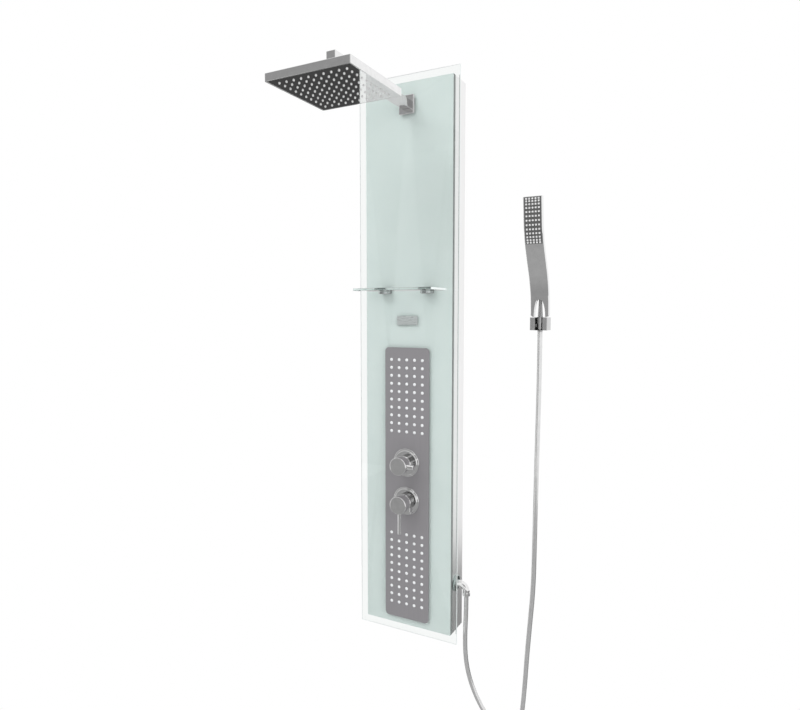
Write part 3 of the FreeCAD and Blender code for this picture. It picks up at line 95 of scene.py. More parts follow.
EDGE_SUPPORT = 0.35  # from a rounded edge to the ring that keeps the flat beside it flat
SUPPORT_SHARE = 0.04  # most of an edge that lies between its corner and that ring
TRIM_SHARE = 0.45  # most of an edge that one rounded corner takes
LEAST_CORNER = 0.05  # corner radius that is left where an inset takes the rest


def node_box(node):
    """Lowest and highest corner of a CAD node in millimetres."""
    low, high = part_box(node)
    return np.array(low) / METRE, np.array(high) / METRE


def node_middle(node):
    """Middle of a CAD node's box in millimetres."""
    low, high = node_box(node)
    return (low + high) / 2


def node_foot(node):
    """Middle of the lower side of a CAD node's box in millimetres."""
    low, high = node_box(node)
    return (*((low + high) / 2)[:2], low[2])


def grid_faces(rows, columns, close_rows=False, close_columns=True):
    """Quads of a grid of points; either direction may close on itself."""
    row = np.arange(rows if close_rows else rows - 1)[:, None]
    column = np.arange(columns if close_columns else columns - 1)[None, :]
    next_row = (row + 1) % rows
    next_column = (column + 1) % columns
    corners = [row * columns + column, row * columns + next_column,
               next_row * columns + next_column, next_row * columns + column]
    return np.stack(corners, axis=-1).reshape(-1, 4).tolist()


def grid_part(points, close_rows=False, caps=True):
    """A surface from points[row, column, xyz] whose rows are closed rings, with a flat cap on
    its first and last row."""
    rows, columns = points.shape[:2]
    faces = grid_faces(rows, columns, close_rows)
    if caps and not close_rows:
        faces.append(list(range(columns))[::-1])
        faces.append([(rows - 1) * columns + i for i in range(columns)])
    return points.reshape(-1, 3), faces


def turned_to(part, directions, place):
    """The part turned by its direction matrix and moved to its place."""
    points, faces = part
    return points @ directions.T + np.array(place, float), faces


def copies(part, places):
    """One part repeated at each place, as a single part."""
    points, faces = part
    places = np.array(places, float)
    count = len(points)
    spread = (points[None] + places[:, None]).reshape(-1, 3)
    repeated = [[index + count * k for index in face] for k in range(len(places)) for face in faces]
    return spread, repeated


def soften(corners, radii, steps=4, closed=True):
    """A polygon with rounded corners: each corner becomes a quadratic curve between two
    points that lie a radius from it along its edges, with one more point beyond each so
    that the flats beside it stay flat."""
    corners = np.array(corners, float)
    radii = np.broadcast_to(radii, len(corners))
    before, after = np.roll(corners, 1, axis=0), np.roll(corners, -1, axis=0)
    into, out = before - corners, after - corners
    into_length = np.linalg.norm(into, axis=1)
    out_length = np.linalg.norm(out, axis=1)
    shorter = np.minimum(into_length, out_length)
    trim = np.minimum(radii, TRIM_SHARE * shorter)
    into = into / into_length[:, None]
    out = out / out_length[:, None]
    first = corners + into * trim[:, None]
    last = corners + out * trim[:, None]
    t = np.linspace(0, 1, steps)[None, :, None]
    curve = (1 - t) ** 2 * first[:, None] + 2 * t * (1 - t) * corners[:, None] + t ** 2 * last[:, None]
    extra = np.minimum(EDGE_SUPPORT, SUPPORT_SHARE * shorter)[:, None]
    lead = (first + into * extra)[:, None]
    trail = (last + out * extra)[:, None]
    softened = np.concatenate([lead, curve, trail], axis=1)
    if closed:
        return softened.reshape(-1, 2)
    inner = softened[1:-1].reshape(-1, 2)
    return np.vstack([corners[:1], inner, corners[-1:]])


def arc(radius, start, end, count):
    """Points of a circle about the origin between two angles."""
    angle = np.linspace(start, end, count)
    return np.column_stack([radius * np.cos(angle), radius * np.sin(angle)])


def turned(profile, sides, close_rows=False):
    """A surface of revolution: each (radius, height) pair of the profile is a ring."""
    angle = np.linspace(0, 2 * math.pi, sides, endpoint=False)
    radius, height = profile[:, 0, None], profile[:, 1, None]
    points = np.stack([radius * np.cos(angle), radius * np.sin(angle),
                       np.broadcast_to(height, (len(profile), sides))], axis=-1)
    return grid_part(points, close_rows=close_rows, caps=False)


def rounded_rectangle(half_x, half_y, radii, steps=6):
    """Outline of a rectangle whose corners are circular arcs; radii go round from the
    corner at +x +y, counter-clockwise."""
    radii = np.broadcast_to(radii, 4)[:, None]
    start = np.arange(4)[:, None] * math.pi / 2
    angle = start + np.linspace(0, math.pi / 2, steps)[None]
    side_x = np.array([1, -1, -1, 1])[:, None]
    side_y = np.array([1, 1, -1, -1])[:, None]
    x = side_x * (half_x - radii) + radii * np.cos(angle)
    y = side_y * (half_y - radii) + radii * np.sin(angle)
    return np.stack([x, y], axis=-1).reshape(-1, 2)


def rounded_ring(half_x, half_y, radii, inset, height, steps=6, least=LEAST_CORNER):
    """A ring of points: a rounded rectangle at a height, drawn in by an inset."""
    corner = np.maximum(np.broadcast_to(radii, 4) - inset, least)
    ring = rounded_rectangle(half_x - inset, half_y - inset, corner, steps)
    return np.column_stack([ring, np.full(len(ring), height)])


def slab(half_x, half_y, radii, profile, steps=6):
    """A plate with a rounded rectangular outline: each (inset, height) pair of the profile
    is a ring of the outline, drawn in by the inset."""
    return grid_part(np.array([rounded_ring(half_x, half_y, radii, inset, height, steps)
                               for inset, height in profile]))


def plate_profile(low, high, edge, steps=4):
    """Insets and heights of a plate from low to high whose two rims have a rounded edge."""
    bend = np.linspace(0, math.pi / 2, steps)
    inset = edge * (1 - np.sin(bend))
    rise = edge * (1 - np.cos(bend))
    support = min(EDGE_SUPPORT, edge)
    low_rim = np.column_stack([inset, low + rise])
    high_rim = np.column_stack([inset[::-1], high - rise[::-1]])
    flat_low = [[edge + support, low]]
    flat_high = [[edge + support, high]]
    side = [[0, low + edge + support], [0, high - edge - support]]
    return np.vstack([flat_low, low_rim, side, high_rim, flat_high])


def prism(outline, profile):
    """A plate of any smooth outline: each ring is the outline moved inwards along its own
    normals by the inset."""
    ahead = np.roll(outline, -1, axis=0) - np.roll(outline, 1, axis=0)
    normal = np.column_stack([ahead[:, 1], -ahead[:, 0]])
    normal /= np.linalg.norm(normal, axis=1)[:, None]
    rings = [np.column_stack([outline - normal * inset, np.full(len(outline), height)])
             for inset, height in profile]
    return grid_part(np.array(rings))


def tube(path, radius, sides):
    """A round tube along a path: rings in planes square to it, carried without twist by
    turning each ring's frame only as much as the path turns."""
    ahead = np.gradient(path, axis=0)
    ahead /= np.linalg.norm(ahead, axis=1)[:, None]
    side = np.cross(ahead[0], [0.0, 1.0, 0.0])
    carried = []
    for heading in ahead:
        side = side - heading * (side @ heading)
        side = side / np.linalg.norm(side)
        carried.append(side)
    across = np.array(carried)
    up = np.cross(ahead, across)
    angle = np.linspace(0, 2 * math.pi, sides, endpoint=False)[None, :, None]
    ring = across[:, None] * np.cos(angle) + up[:, None] * np.sin(angle)
    return grid_part(path[:, None] + ring * radius)


# ---- pieces

SHARP_DEGREES = 50
MERGE_METRES = 1e-7  # points nearer than this are one


def clean(mesh, sharp=SHARP_DEGREES, merge=MERGE_METRES, close_rims=False):
    """Join points that coincide, close open rims if asked, turn the faces outwards and shade
    the mesh smooth but for its sharp edges."""
    shell = bmesh.new()
    shell.from_mesh(mesh)
    bmesh.ops.remove_doubles(shell, verts=shell.verts, dist=merge)
    if close_rims:
        rims = [edge for edge in shell.edges if edge.is_boundary]
        bmesh.ops.holes_fill(shell, edges=rims, sides=0)
    bmesh.ops.recalc_face_normals(shell, faces=shell.faces)
    shell.to_mesh(mesh)
    shell.free()
    mesh.shade_smooth()
    mesh.set_sharp_from_angle(angle=math.radians(sharp))


def put(name, parts, material, body, replaced=(), sharp=SHARP_DEGREES):
    """Make one object of closed parts, in metres; it rides on a body and stands for the
    replaced CAD nodes."""
    points, faces, count = [], [], 0
    for part_points, part_faces in parts:
        points.append(part_points)
        faces += [[index + count for index in face] for face in part_faces]
        count += len(part_points)
    mesh = bpy.data.meshes.new(name)
    mesh.from_pydata((np.vstack(points) * METRE).tolist(), [], faces)
    clean(mesh, sharp)
    mesh.materials.append(material)
    piece = bpy.data.objects.new(name, mesh)
    scene.collection.objects.link(piece)
    if body:
        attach(piece, body)
    if replaced:
        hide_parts(*replaced)
    return piece


# ---- materials

# Sockets of a Mix node, which has a set of its own for each kind of value.
NUMBER_A, NUMBER_B, NUMBER_OUT = 2, 3, 0
COLOUR_A, COLOUR_B, COLOUR_OUT = 6, 7, 2


def add_node(tree, kind, **values):
    """A shader node of a kind with its properties set."""
    node = tree.nodes.new("ShaderNode" + kind)
    for name, value in values.items():
        setattr(node, name, value)
    return node


def fill(node, **values):
    """Set a node's sockets; an underscore in a name stands for a space."""
    for name, value in values.items():
        node.inputs[name.replace("_", " ")].default_value = value
    return node


def join(tree, *links):
    """Link sockets of nodes: each link is a node and its output, a node and its input."""
    for source, output, target, entry in links:
        tree.links.new(source.outputs[output], target.inputs[entry])


def find_node(tree, kind):
    """The first node of a kind in a material or world."""
    return next(node for node in tree.nodes if node.type == kind)


def highest(tree, *sockets):
    """The largest of several values."""
    result = sockets[0]
    for socket in sockets[1:]:
        larger = add_node(tree, "Math", operation="MAXIMUM")
        tree.links.new(result, larger.inputs[0])
        tree.links.new(socket, larger.inputs[1])
        result = larger.outputs[0]
    return result


def lay_over(tree, factor, shader, output_kind="OUTPUT_MATERIAL"):
    """Show a shader instead of what the tree shows so far, where the factor is one."""
    surface = find_node(tree, output_kind).inputs["Surface"]
    choice = add_node(tree, "MixShader")
    tree.links.new(factor, choice.inputs["Fac"])
    tree.links.new(surface.links[0].from_socket, choice.inputs[1])
    tree.links.new(shader.outputs[0], choice.inputs[2])
    tree.links.new(choice.outputs[0], surface)


def new_material(name):
    """A material with its node tree."""
    material = bpy.data.materials.new(name)
    material.use_nodes = True
    return material, material.node_tree


def make_grain_group():
    """Shared effect: stretched noise turned into a colour, a roughness and a height."""
    group = bpy.data.node_groups.new("grain", "ShaderNodeTree")
    face = group.interface
    for name, kind in (("Colour A", "Color"), ("Colour B", "Color"), ("Stretch", "Vector"),
                       ("Detail", "Float"), ("Smooth", "Float"), ("Rough", "Float")):
        face.new_socket(name, in_out="INPUT", socket_type="NodeSocket" + kind)
    for name, kind in (("Colour", "Color"), ("Roughness", "Float"), ("Height", "Float")):
        face.new_socket(name, in_out="OUTPUT", socket_type="NodeSocket" + kind)
    entry = group.nodes.new("NodeGroupInput")
    end = group.nodes.new("NodeGroupOutput")
    place = add_node(group, "TexCoord")
    stretched = add_node(group, "VectorMath", operation="MULTIPLY")
    noise = fill(add_node(group, "TexNoise"), Scale=1.0)
    spread = fill(add_node(group, "MapRange"), From_Min=0.3, From_Max=0.7)
    tint = add_node(group, "Mix", data_type="RGBA")
    rough = add_node(group, "Mix", data_type="FLOAT")
    join(group, (place, "Object", stretched, 0), (entry, "Stretch", stretched, 1),
         (stretched, 0, noise, "Vector"), (entry, "Detail", noise, "Detail"),
         (noise, "Fac", spread, "Value"), (spread, "Result", end, "Height"),
         (spread, "Result", tint, "Factor"), (spread, "Result", rough, "Factor"),
         (entry, "Colour A", tint, COLOUR_A), (entry, "Colour B", tint, COLOUR_B),
         (entry, "Smooth", rough, NUMBER_A), (entry, "Rough", rough, NUMBER_B),
         (tint, COLOUR_OUT, end, "Colour"), (rough, NUMBER_OUT, end, "Roughness"))
    return group


GRAIN = make_grain_group()


def shade(value):
    """A display grey or colour (0 to 255) as the linear colour that a shader takes."""
    level = np.array(value, float) / 255
    linear = np.where(level <= 0.04045, level / 12.92, ((level + 0.055) / 1.055) ** 2.4)
    return (*np.broadcast_to(linear, 3).tolist(), 1.0)


def finish_of(name, colour, other, smooth, rough, stretch, bump=0.0, metallic=0.0, detail=3.0,
              **constants):
    """A material of the shared grain: two close colours, two roughnesses and a relief whose
    height is in millimetres. The constants go to the shader's own sockets."""
    material, tree = new_material(name)
    shader = find_node(tree, "BSDF_PRINCIPLED")
    grain = fill(add_node(tree, "Group", node_tree=GRAIN), Colour_A=shade(colour), Colour_B=shade(other),
                 Stretch=np.broadcast_to(stretch, 3).tolist(), Detail=detail, Smooth=smooth, Rough=rough)
    join(tree, (grain, "Colour", shader, "Base Color"), (grain, "Roughness", shader, "Roughness"))
    if bump:
        relief = fill(add_node(tree, "Bump"), Strength=1.0, Distance=bump * METRE)
        join(tree, (grain, "Height", relief, "Height"), (relief, "Normal", shader, "Normal"))
    fill(shader, Metallic=metallic, **constants)
    return material


GLASS_PASSES = (250, 251, 251)  # what a sheet of glass lets through


def clear_shadows(material):
    """Let lamp light and the room's soft light pass straight through a glass."""
    tree = material.node_tree
    ray = add_node(tree, "LightPath")
    open_way = fill(add_node(tree, "BsdfTransparent"), Color=shade(GLASS_PASSES))
    passing = highest(tree, ray.outputs["Is Shadow Ray"], ray.outputs["Is Diffuse Ray"])
    lay_over(tree, passing, open_way)
    return material


def ground_edges(material, axis, test, limit, colour):
    """Give a sheet of glass matt pale edges: the faces whose normal passes the test on one axis."""
    tree = material.node_tree
    place = add_node(tree, "TexCoord")
    split = add_node(tree, "SeparateXYZ")
    size = add_node(tree, "Math", operation="ABSOLUTE")
    edge = add_node(tree, "Math", operation=test)
    edge.inputs[1].default_value = limit
    matt = fill(add_node(tree, "BsdfDiffuse"), Color=shade(colour))
    join(tree, (place, "Normal", split, 0), (split, axis, size, 0), (size, 0, edge, 0))
    lay_over(tree, edge.outputs[0], matt)


def calm_mirrored(material, grey):
    """Show a material in a neutral grey where polished metal mirrors it."""
    tree = material.node_tree
    shader = find_node(tree, "BSDF_PRINCIPLED")
    ray = add_node(tree, "LightPath")
    blend = add_node(tree, "Mix", data_type="RGBA")
    blend.inputs[COLOUR_B].default_value = shade(grey)
    source = shader.inputs["Base Color"].links[0].from_socket
    tree.links.new(source, blend.inputs[COLOUR_A])
    join(tree, (ray, "Glossy Depth", blend, "Factor"), (blend, COLOUR_OUT, shader, "Base Color"))
    return material


# Each finish: name, two colours, two roughnesses, stretch, height of the relief, share of metal.
CHROME = finish_of("chrome", 240, 233, 0.045, 0.085, 90, 0.0008, 1.0)
MIRROR = finish_of("mirror_chrome", 240, 236, 0.02, 0.05, 60, 0.0004, 1.0)
GLASS = clear_shadows(finish_of("clear_glass", (250, 252, 251), (249, 251, 250), 0.0, 0.01, 20,
                                Transmission_Weight=1.0, IOR=1.5))
ground_edges(GLASS, "Y", "LESS_THAN", 0.5, (226, 232, 231))
SHELF_GLASS = clear_shadows(finish_of("shelf_glass", (242, 249, 247), (240, 248, 245), 0.0, 0.01, 20,
                                      Transmission_Weight=1.0, IOR=1.5))
ground_edges(SHELF_GLASS, "X", "GREATER_THAN", 0.7, (240, 246, 245))
MINT = calm_mirrored(finish_of("mint_field", (211, 221, 218), (208, 219, 216), 0.30, 0.36, 14), 214)
BONDING = finish_of("dark_bonding", (126, 131, 130), (118, 123, 122), 0.55, 0.7, (300, 300, 60), 0.02)
HOUSING = finish_of("satin_aluminium", 243, 237, 0.30, 0.38, (900, 900, 8), 0.003, 0.85)
STEEL = finish_of("galvanised_steel", 168, 148, 0.32, 0.5, 70, 0.01, 1.0, detail=5)
NECK = finish_of("neck_chrome", 186, 176, 0.1, 0.18, 90, 0.001, 1.0)
PLATE = finish_of("grey_plate", (148, 146, 149), (144, 142, 145), 0.32, 0.40, (900, 900, 12), 0.002, 0.3)
JET_RUBBER = finish_of("jet_rubber", (236, 238, 239), (228, 230, 231), 0.4, 0.5, 400, 0.01)
HEAD_RUBBER = finish_of("head_rubber", 226, 218, 0.4, 0.5, 400, 0.01)
BADGE = finish_of("satin_badge", (200, 206, 205), (196, 202, 201), 0.26, 0.3, (40, 900, 900), 0.0, 0.5)
BRASS = finish_of("cast_brass", (196, 166, 104), (178, 148, 88), 0.3, 0.5, 180, 0.05, 1.0, detail=6)
HOLDER = finish_of("holder_chrome", 198, 190, 0.06, 0.11, 90, 0.001, 0.8)
# Chrome dimmed to stand in for shade: painted dark reflections on the mixer dome and the diverter sleeve.
SHADE_DIMMED_CHROME = finish_of("shade_dimmed_chrome", 172, 150, 0.05, 0.1, (160, 160, 60), 0.0008, 1.0)
# Chrome dimmed and tinted grey-green: painted shade and painted reflection on the side outlet's rosette.
OUTLET_PAINTED_SHADE = finish_of("outlet_painted_shade_chrome", (172, 184, 182), (160, 172, 170), 0.05, 0.1, 90, 0.0008, 1.0)
CLAMP = finish_of("clamp_chrome", (200, 206, 205), (188, 194, 193), 0.08, 0.16, 90, 0.001, 1.0)
MOULDED = finish_of("moulded_plastic", 205, 198, 0.4, 0.52, 260, 0.012)
PIPE = finish_of("pipe_plastic", (226, 228, 228), (218, 220, 220), 0.32, 0.42, (200, 200, 30), 0.006)
SPRAY = finish_of("spray_plate", 86, 80, 0.22, 0.32, 120, 0.003)
SPRAY_RUBBER = finish_of("spray_rubber", 222, 214, 0.4, 0.5, 400, 0.01)
HOSE = finish_of("hose_silver", 226, 218, 0.13, 0.2, 40, 0.002, 0.8)
SEAT = finish_of("grey_seat", 112, 104, 0.35, 0.5, 300, 0.01)

CAD_FINISHES = (
    (GLASS, ("front_glass",)), (MINT, ("colour_panel",)), (BONDING, ("bonding_frame",)),
    (PLATE, ("control_plate",)), (BADGE, ("badge_plate",)), (SEAT, ("holder_seat",)),
    (HOUSING, ("left_side_profile", "right_side_profile", "top_cap", "bottom_cap")),
    (STEEL, ("wall_brackets", "upper_hanging_rail", "lower_hanging_rail", "mixer_pivot_pin")),
    (MOULDED, ("upper_jet_chamber", "lower_jet_chamber", "head_chamber", "ball_friction_ring",
               "mixer_cartridge", "diverter_cartridge")),
    (BRASS, ("arm_lock_nut", "arm_inlet_elbow", "mixer_body", "mixer_carrier", "mixer_stem",
             "diverter_body", "diverter_stem")),
    (PIPE, ("mixer_link_pipe", "upper_jets_pipe", "head_riser_pipe", "lower_jets_pipe",
            "handset_feed_pipe")),
)


def dress_cad_nodes():
    """Give every CAD node a finish; those that a new piece replaces are chrome."""
    finishes = {name: material for material, names in CAD_FINISHES for name in names}
    for name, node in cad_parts.items():
        node.data.materials.clear()
        node.data.materials.append(finishes.get(name, CHROME))


dress_cad_nodes()

# ---- hose

HOSE_RADIUS = 6.0
HOSE_ROUTE = (
    (159.5, -47, -677), (156.5, -46.5, -735), (157.6, -46, -797), (166.5, -44.5, -848),
    (183, -42, -895), (206, -39.5, -937), (230, -37.5, -966), (260, -34.5, -976),
    (290, -31, -967), (309, -28.5, -941), (313, -27, -903), (317, -25, -845),
    (321, -24, -770), (327.5, -23, -680), (335, -22, -580), (336.6, -21, -450),
    (337.6, -20, -310), (339.4, -19.4, -165), (341, -18.5, -35),
)
HOSE_SIDES = 28
NEAR_NUT = 1.0  # the line's first point lies as near as this to the nut


def spline_points(route):
    """Points along the smooth NURBS line that has the route as its control points."""
    curve = bpy.data.curves.new("hose_line", "CURVE")
    curve.dimensions = "3D"
    curve.resolution_u = 8
    spline = curve.splines.new("NURBS")
    spline.points.add(len(route) - 1)
    for point, place in zip(spline.points, route):
        point.co = (*[value * METRE for value in place], 1.0)
    spline.order_u = 3
    spline.use_endpoint_u = True
    holder = bpy.data.objects.new("hose_line", curve)
    line = bpy.data.meshes.new_from_object(holder)
    points = np.zeros(len(line.vertices) * 3)
    line.vertices.foreach_get("co", points)
    bpy.data.objects.remove(holder)
    bpy.data.curves.remove(curve)
    bpy.data.meshes.remove(line)
    return points.reshape(-1, 3) / METRE


def make_hose():
    """The hose as a round tube along its spline, bending between the outlet and the hand shower."""
    start, end = node_foot("hose_nut"), node_foot("hose_cone")
    path = spline_points([start, *HOSE_ROUTE, end])
    if np.linalg.norm(path[0] - np.array(start)) > NEAR_NUT:
        path = path[::-1]
    hose = put("hose", [tube(path, HOSE_RADIUS, HOSE_SIDES)], HOSE, None)
    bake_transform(hose)
    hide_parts("shower_hose")


make_hose()

# ---- nozzles

JET_COUNTS, JET_STEPS = (5, 10), np.array([(23.2, 0, 0), (0, 0, 21.7)])
JET_PROFILE = [(0, -0.3), (4.2, -0.3), (4.2, 0.5), (3.3, 1.0), (3.0, 2.1), (2.3, 2.6), (1.0, 2.6),
               (0.8, 1.4), (0, 1.4)]
HEAD_COUNTS, HEAD_STEPS = (10, 10), np.array([(18.5, 0, 0), (0, 18.5, 0)])
HEAD_NOZZLE_PROFILE = [(0, -0.3), (2.6, -0.3), (2.6, 0.25), (2.1, 0.5), (1.8, 1.9), (1.4, 2.2),
                       (0.7, 2.2), (0.5, 1.2), (0, 1.2)]


def make_nozzles(name, node, middle, counts, steps, nozzle, material, body):
    """A regular field of equal rubber nozzles about its middle: columns and rows of steps."""
    column, row = (np.arange(count) - (count - 1) / 2 for count in counts)
    places = middle + column[:, None, None] * steps[0] + row[None, :, None] * steps[1]
    put(name, [copies(nozzle, places.reshape(-1, 3))], material, body, [node])


def make_jets():
    """Round jets with a raised rim and a small mouth, in two fields on the control plate."""
    jet = turned_to(turned(np.array(JET_PROFILE), 16), TO_USER, (0, 0, 0))
    for place in ("upper", "lower"):
        middle = node_middle(f"{place}_jet_nozzles")
        middle[1] = node_box("control_plate")[0][1]
        make_nozzles(f"{place}_jets", f"{place}_jet_nozzles", middle, JET_COUNTS, JET_STEPS, jet,
                     JET_RUBBER, "panel")


def make_head_nozzles():
    """Tapered nozzles in a square field under the overhead shower."""
    nozzle = turned_to(turned(np.array(HEAD_NOZZLE_PROFILE), 14), DOWNWARD, (0, 0, 0))
    middle = node_middle("head_nozzles")
    middle[2] = node_box("head_face_plate")[0][2]
    make_nozzles("head_spray_nozzles", "head_nozzles", middle, HEAD_COUNTS, HEAD_STEPS, nozzle,
                 HEAD_RUBBER, "overhead_shower")


make_jets()
make_head_nozzles()

# ---- shelf

SHELF_CORNER, SHELF_EDGE = 9.0, 0.9
BACK_CORNER = 0.8  # corners of shelf and jaws at the panel
CLAMP_WIDTH, CLAMP_SPACING = 30.0, 126.0
JAW_CORNER, JAW_EDGE = 11.0, 0.7
JAW_GAP = 0.3  # between the shelf and what holds it
SPINE_CORNER, SPINE_EDGE = 0.4, 0.3
SPINE_BELOW, SPINE_ABOVE = 2.0, 1.0  # how far a clamp's back ends inside its jaws


def make_shelf():
    """Glass shelf with rounded front corners and polished edges."""
    low, high = node_box("shelf_glass")
    half = (high - low) / 2
    corners = (BACK_CORNER, BACK_CORNER, SHELF_CORNER, SHELF_CORNER)
    plate = slab(half[0], half[1], corners, plate_profile(-half[2], half[2], SHELF_EDGE))
    put("shelf", [turned_to(plate, UPRIGHT, (low + high) / 2)], SHELF_GLASS, "panel",
        ["shelf_glass"])


def make_shelf_clamps():
    """Two chrome clamps: a jaw under the shelf, a thinner one over it and the back between."""
    low, high = node_box("shelf_clamps")
    shelf_low, shelf_high = node_box("shelf_glass")
    half_y = (high[1] - low[1]) / 2
    middle_y = (high[1] + low[1]) / 2
    corners = (BACK_CORNER, BACK_CORNER, JAW_CORNER, JAW_CORNER)
    depth = high[1] - shelf_high[1] - JAW_GAP
    upright = plate_profile(low[2] + SPINE_BELOW, high[2] - SPINE_ABOVE, SPINE_EDGE)
    parts = []
    for side in (-1, 1):
        x = side * CLAMP_SPACING / 2
        for foot, top in ((low[2], shelf_low[2] - JAW_GAP), (shelf_high[2] + JAW_GAP, high[2])):
            jaw = slab(CLAMP_WIDTH / 2, half_y, corners, plate_profile(foot, top, JAW_EDGE), steps=10)
            parts.append(turned_to(jaw, UPRIGHT, (x, middle_y, 0)))
        spine = slab(CLAMP_WIDTH / 2, depth / 2, SPINE_CORNER, upright)
        parts.append(turned_to(spine, UPRIGHT, (x, high[1] - depth / 2, 0)))
    put("clamps", parts, CLAMP, "panel", ["shelf_clamps"])


make_shelf()
make_shelf_clamps()

# ---- arm and overhead shower

def put_for(name, node, part, direction, body, material=CHROME, place=None, sharp=SHARP_DEGREES):
    """A polished part for a CAD node. Unless a place is given, it stands in the middle of
    the side of the node's box that its height starts from."""
    if place is None:
        low, high = node_box(node)
        ahead = direction[:, 2]
        place = np.select([ahead < 0, ahead > 0], [high, low], (low + high) / 2)
    put(name, [turned_to(part, direction, place)], material, body, [node], sharp)


GLASS_FRONT = node_box("front_glass")[0][1]
HEAD_Y = node_middle("head_shell")[1]
BALL_Z = node_middle("ball_friction_ring")[2]

FLANGE_EDGE, FLANGE_CORNER, FLANGE_LEAST = 1.0, 1.2, 0.1
MOUTH_HALF, MOUTH_CORNER = 11.8, 1.6
ARM_EDGE, ARM_CORNER = 1.2, 1.5
COLLAR_RADIUS, COLLAR_EDGE = 10.0, 0.6
SPIGOT_RADIUS, SPIGOT_BORE, SPIGOT_FLOOR = 10.45, 7.5, 4.0
SPIGOT_ROUNDING = [0, 0.5, 0.6, 0.4, 0, 0]
BALL_RADIUS, STEM_RADIUS = 10.0, 5.4
CAVITY_RADIUS = 12.1
CAVITY_FROM, CAVITY_TO = -1.2, 0.72  # radians above the ball's middle plane
GROOVE_DEPTH = 0.8
SOCKET_ROUNDING = [0.5, 0.9, 0.2, 0.2, 0.2, 0.2, 0.5, 0]
HEAD_EDGE, HEAD_CORNER = 0.8, 2.0
HEAD_WALL, HEAD_ROOF = 2.6, 3.5
FACE_EDGE, FACE_CORNER = 0.35, 1.5


def make_arm_flange():
    """Rectangular flange with a square mouth for the arm: a closed ring of rounded rectangles."""
    low, high = node_box("arm_flange")
    half_x, half_z = (high[0] - low[0]) / 2, (high[2] - low[2]) / 2
    depth = high[1] - low[1]
    rings = [rounded_ring(half_x, half_z, FLANGE_CORNER, inset, height, least=FLANGE_LEAST)
             for inset, height in plate_profile(0, depth, FLANGE_EDGE)]
    rings += [rounded_ring(MOUTH_HALF, MOUTH_HALF, MOUTH_CORNER, 0, height) for height in (depth, 0)]
    part = grid_part(np.array(rings), close_rows=True)
    put_for("flange", "arm_flange", part, TO_USER, "panel")


def make_arm():
    """Square arm with rounded edges, the round collar under its end and its threaded spigot."""
    low, high = node_box("shower_arm")
    half = (high[0] - low[0]) / 2
    axis_z = high[2] - half
    bar = slab(half, half, ARM_CORNER, plate_profile(0, GLASS_FRONT - low[1], ARM_EDGE))
    drop = (axis_z - half) - low[2]
    collar = soften([(0, -1), (COLLAR_RADIUS, -1), (COLLAR_RADIUS, drop), (0, drop)],
                    [0, COLLAR_EDGE, COLLAR_EDGE, 0], closed=False)
    end = high[1] - GLASS_FRONT
    spigot = soften([(0, -1), (SPIGOT_RADIUS, -1), (SPIGOT_RADIUS, end), (SPIGOT_BORE, end),
                     (SPIGOT_BORE, SPIGOT_FLOOR), (0, SPIGOT_FLOOR)], SPIGOT_ROUNDING, closed=False)
    ball_y = node_middle("swivel_ball")[1]
    parts = [turned_to(bar, TO_USER, (0, GLASS_FRONT, axis_z)),
             turned_to(turned(collar, 64), DOWNWARD, (0, ball_y, axis_z - half)),
             turned_to(turned(spigot, 48), TO_WALL, (0, GLASS_FRONT, axis_z))]
    put("arm", parts, CHROME, "panel", ["shower_arm"])


def make_ball():
    """Ball with its stem, as slim as the ring needs at the end of its swing."""
    top = node_box("swivel_ball")[1][2] - BALL_Z
    ball = arc(BALL_RADIUS, -math.pi / 2, math.acos(STEM_RADIUS / BALL_RADIUS), 36)
    stem = [(STEM_RADIUS, ball[-1, 1] + 0.5), (STEM_RADIUS, top), (0, top)]
    put_for("ball", "swivel_ball", turned(np.vstack([ball, stem]), 56), UPRIGHT, "panel",
            place=(0, HEAD_Y, BALL_Z))


def make_socket():
    """Chrome nut round the ball, with a rounded rim and a groove near its foot."""
    low, high = node_box("head_socket")
    foot, rim, outer = low[2] - BALL_Z, high[2] - BALL_Z, (high[0] - low[0]) / 2
    inner = arc(CAVITY_RADIUS, CAVITY_FROM, CAVITY_TO, 24)
    groove = outer - GROOVE_DEPTH
    shell = soften([(inner[-1, 0], rim), (outer, rim), (outer, foot + 6.4), (groove, foot + 5.8),
                    (groove, foot + 5.0), (outer, foot + 4.4), (outer, foot), (inner[0, 0], foot)],
                   SOCKET_ROUNDING, closed=False)
    part = turned(np.vstack([inner, shell]), 64, close_rows=True)
    put_for("socket", "head_socket", part, UPRIGHT, "overhead_shower", place=(0, HEAD_Y, BALL_Z))


def make_head_shell():
    """Square housing, open below: its outside and its inside are one run of rings."""
    low, high = node_box("head_shell")
    half, tall = (high[0] - low[0]) / 2, high[2] - low[2]
    inside = [(HEAD_WALL, tall - HEAD_ROOF), (HEAD_WALL, 0.6), (HEAD_WALL - 0.3, 0.1)]
    outside = plate_profile(0, tall, HEAD_EDGE)[1:]
    part = slab(half, half, HEAD_CORNER, np.vstack([inside, outside]))
    put_for("head_housing", "head_shell", part, UPRIGHT, "overhead_shower")


def make_head_face():
    """Polished face plate of the overhead shower."""
    low, high = node_box("head_face_plate")
    half = (high[0] - low[0]) / 2
    part = slab(half, half, FACE_CORNER, plate_profile(0, high[2] - low[2], FACE_EDGE))
    put_for("head_face", "head_face_plate", part, UPRIGHT, "overhead_shower", MIRROR)


make_arm_flange()
make_arm()
make_ball()
make_socket()
make_head_shell()
make_head_face()

# ---- valves

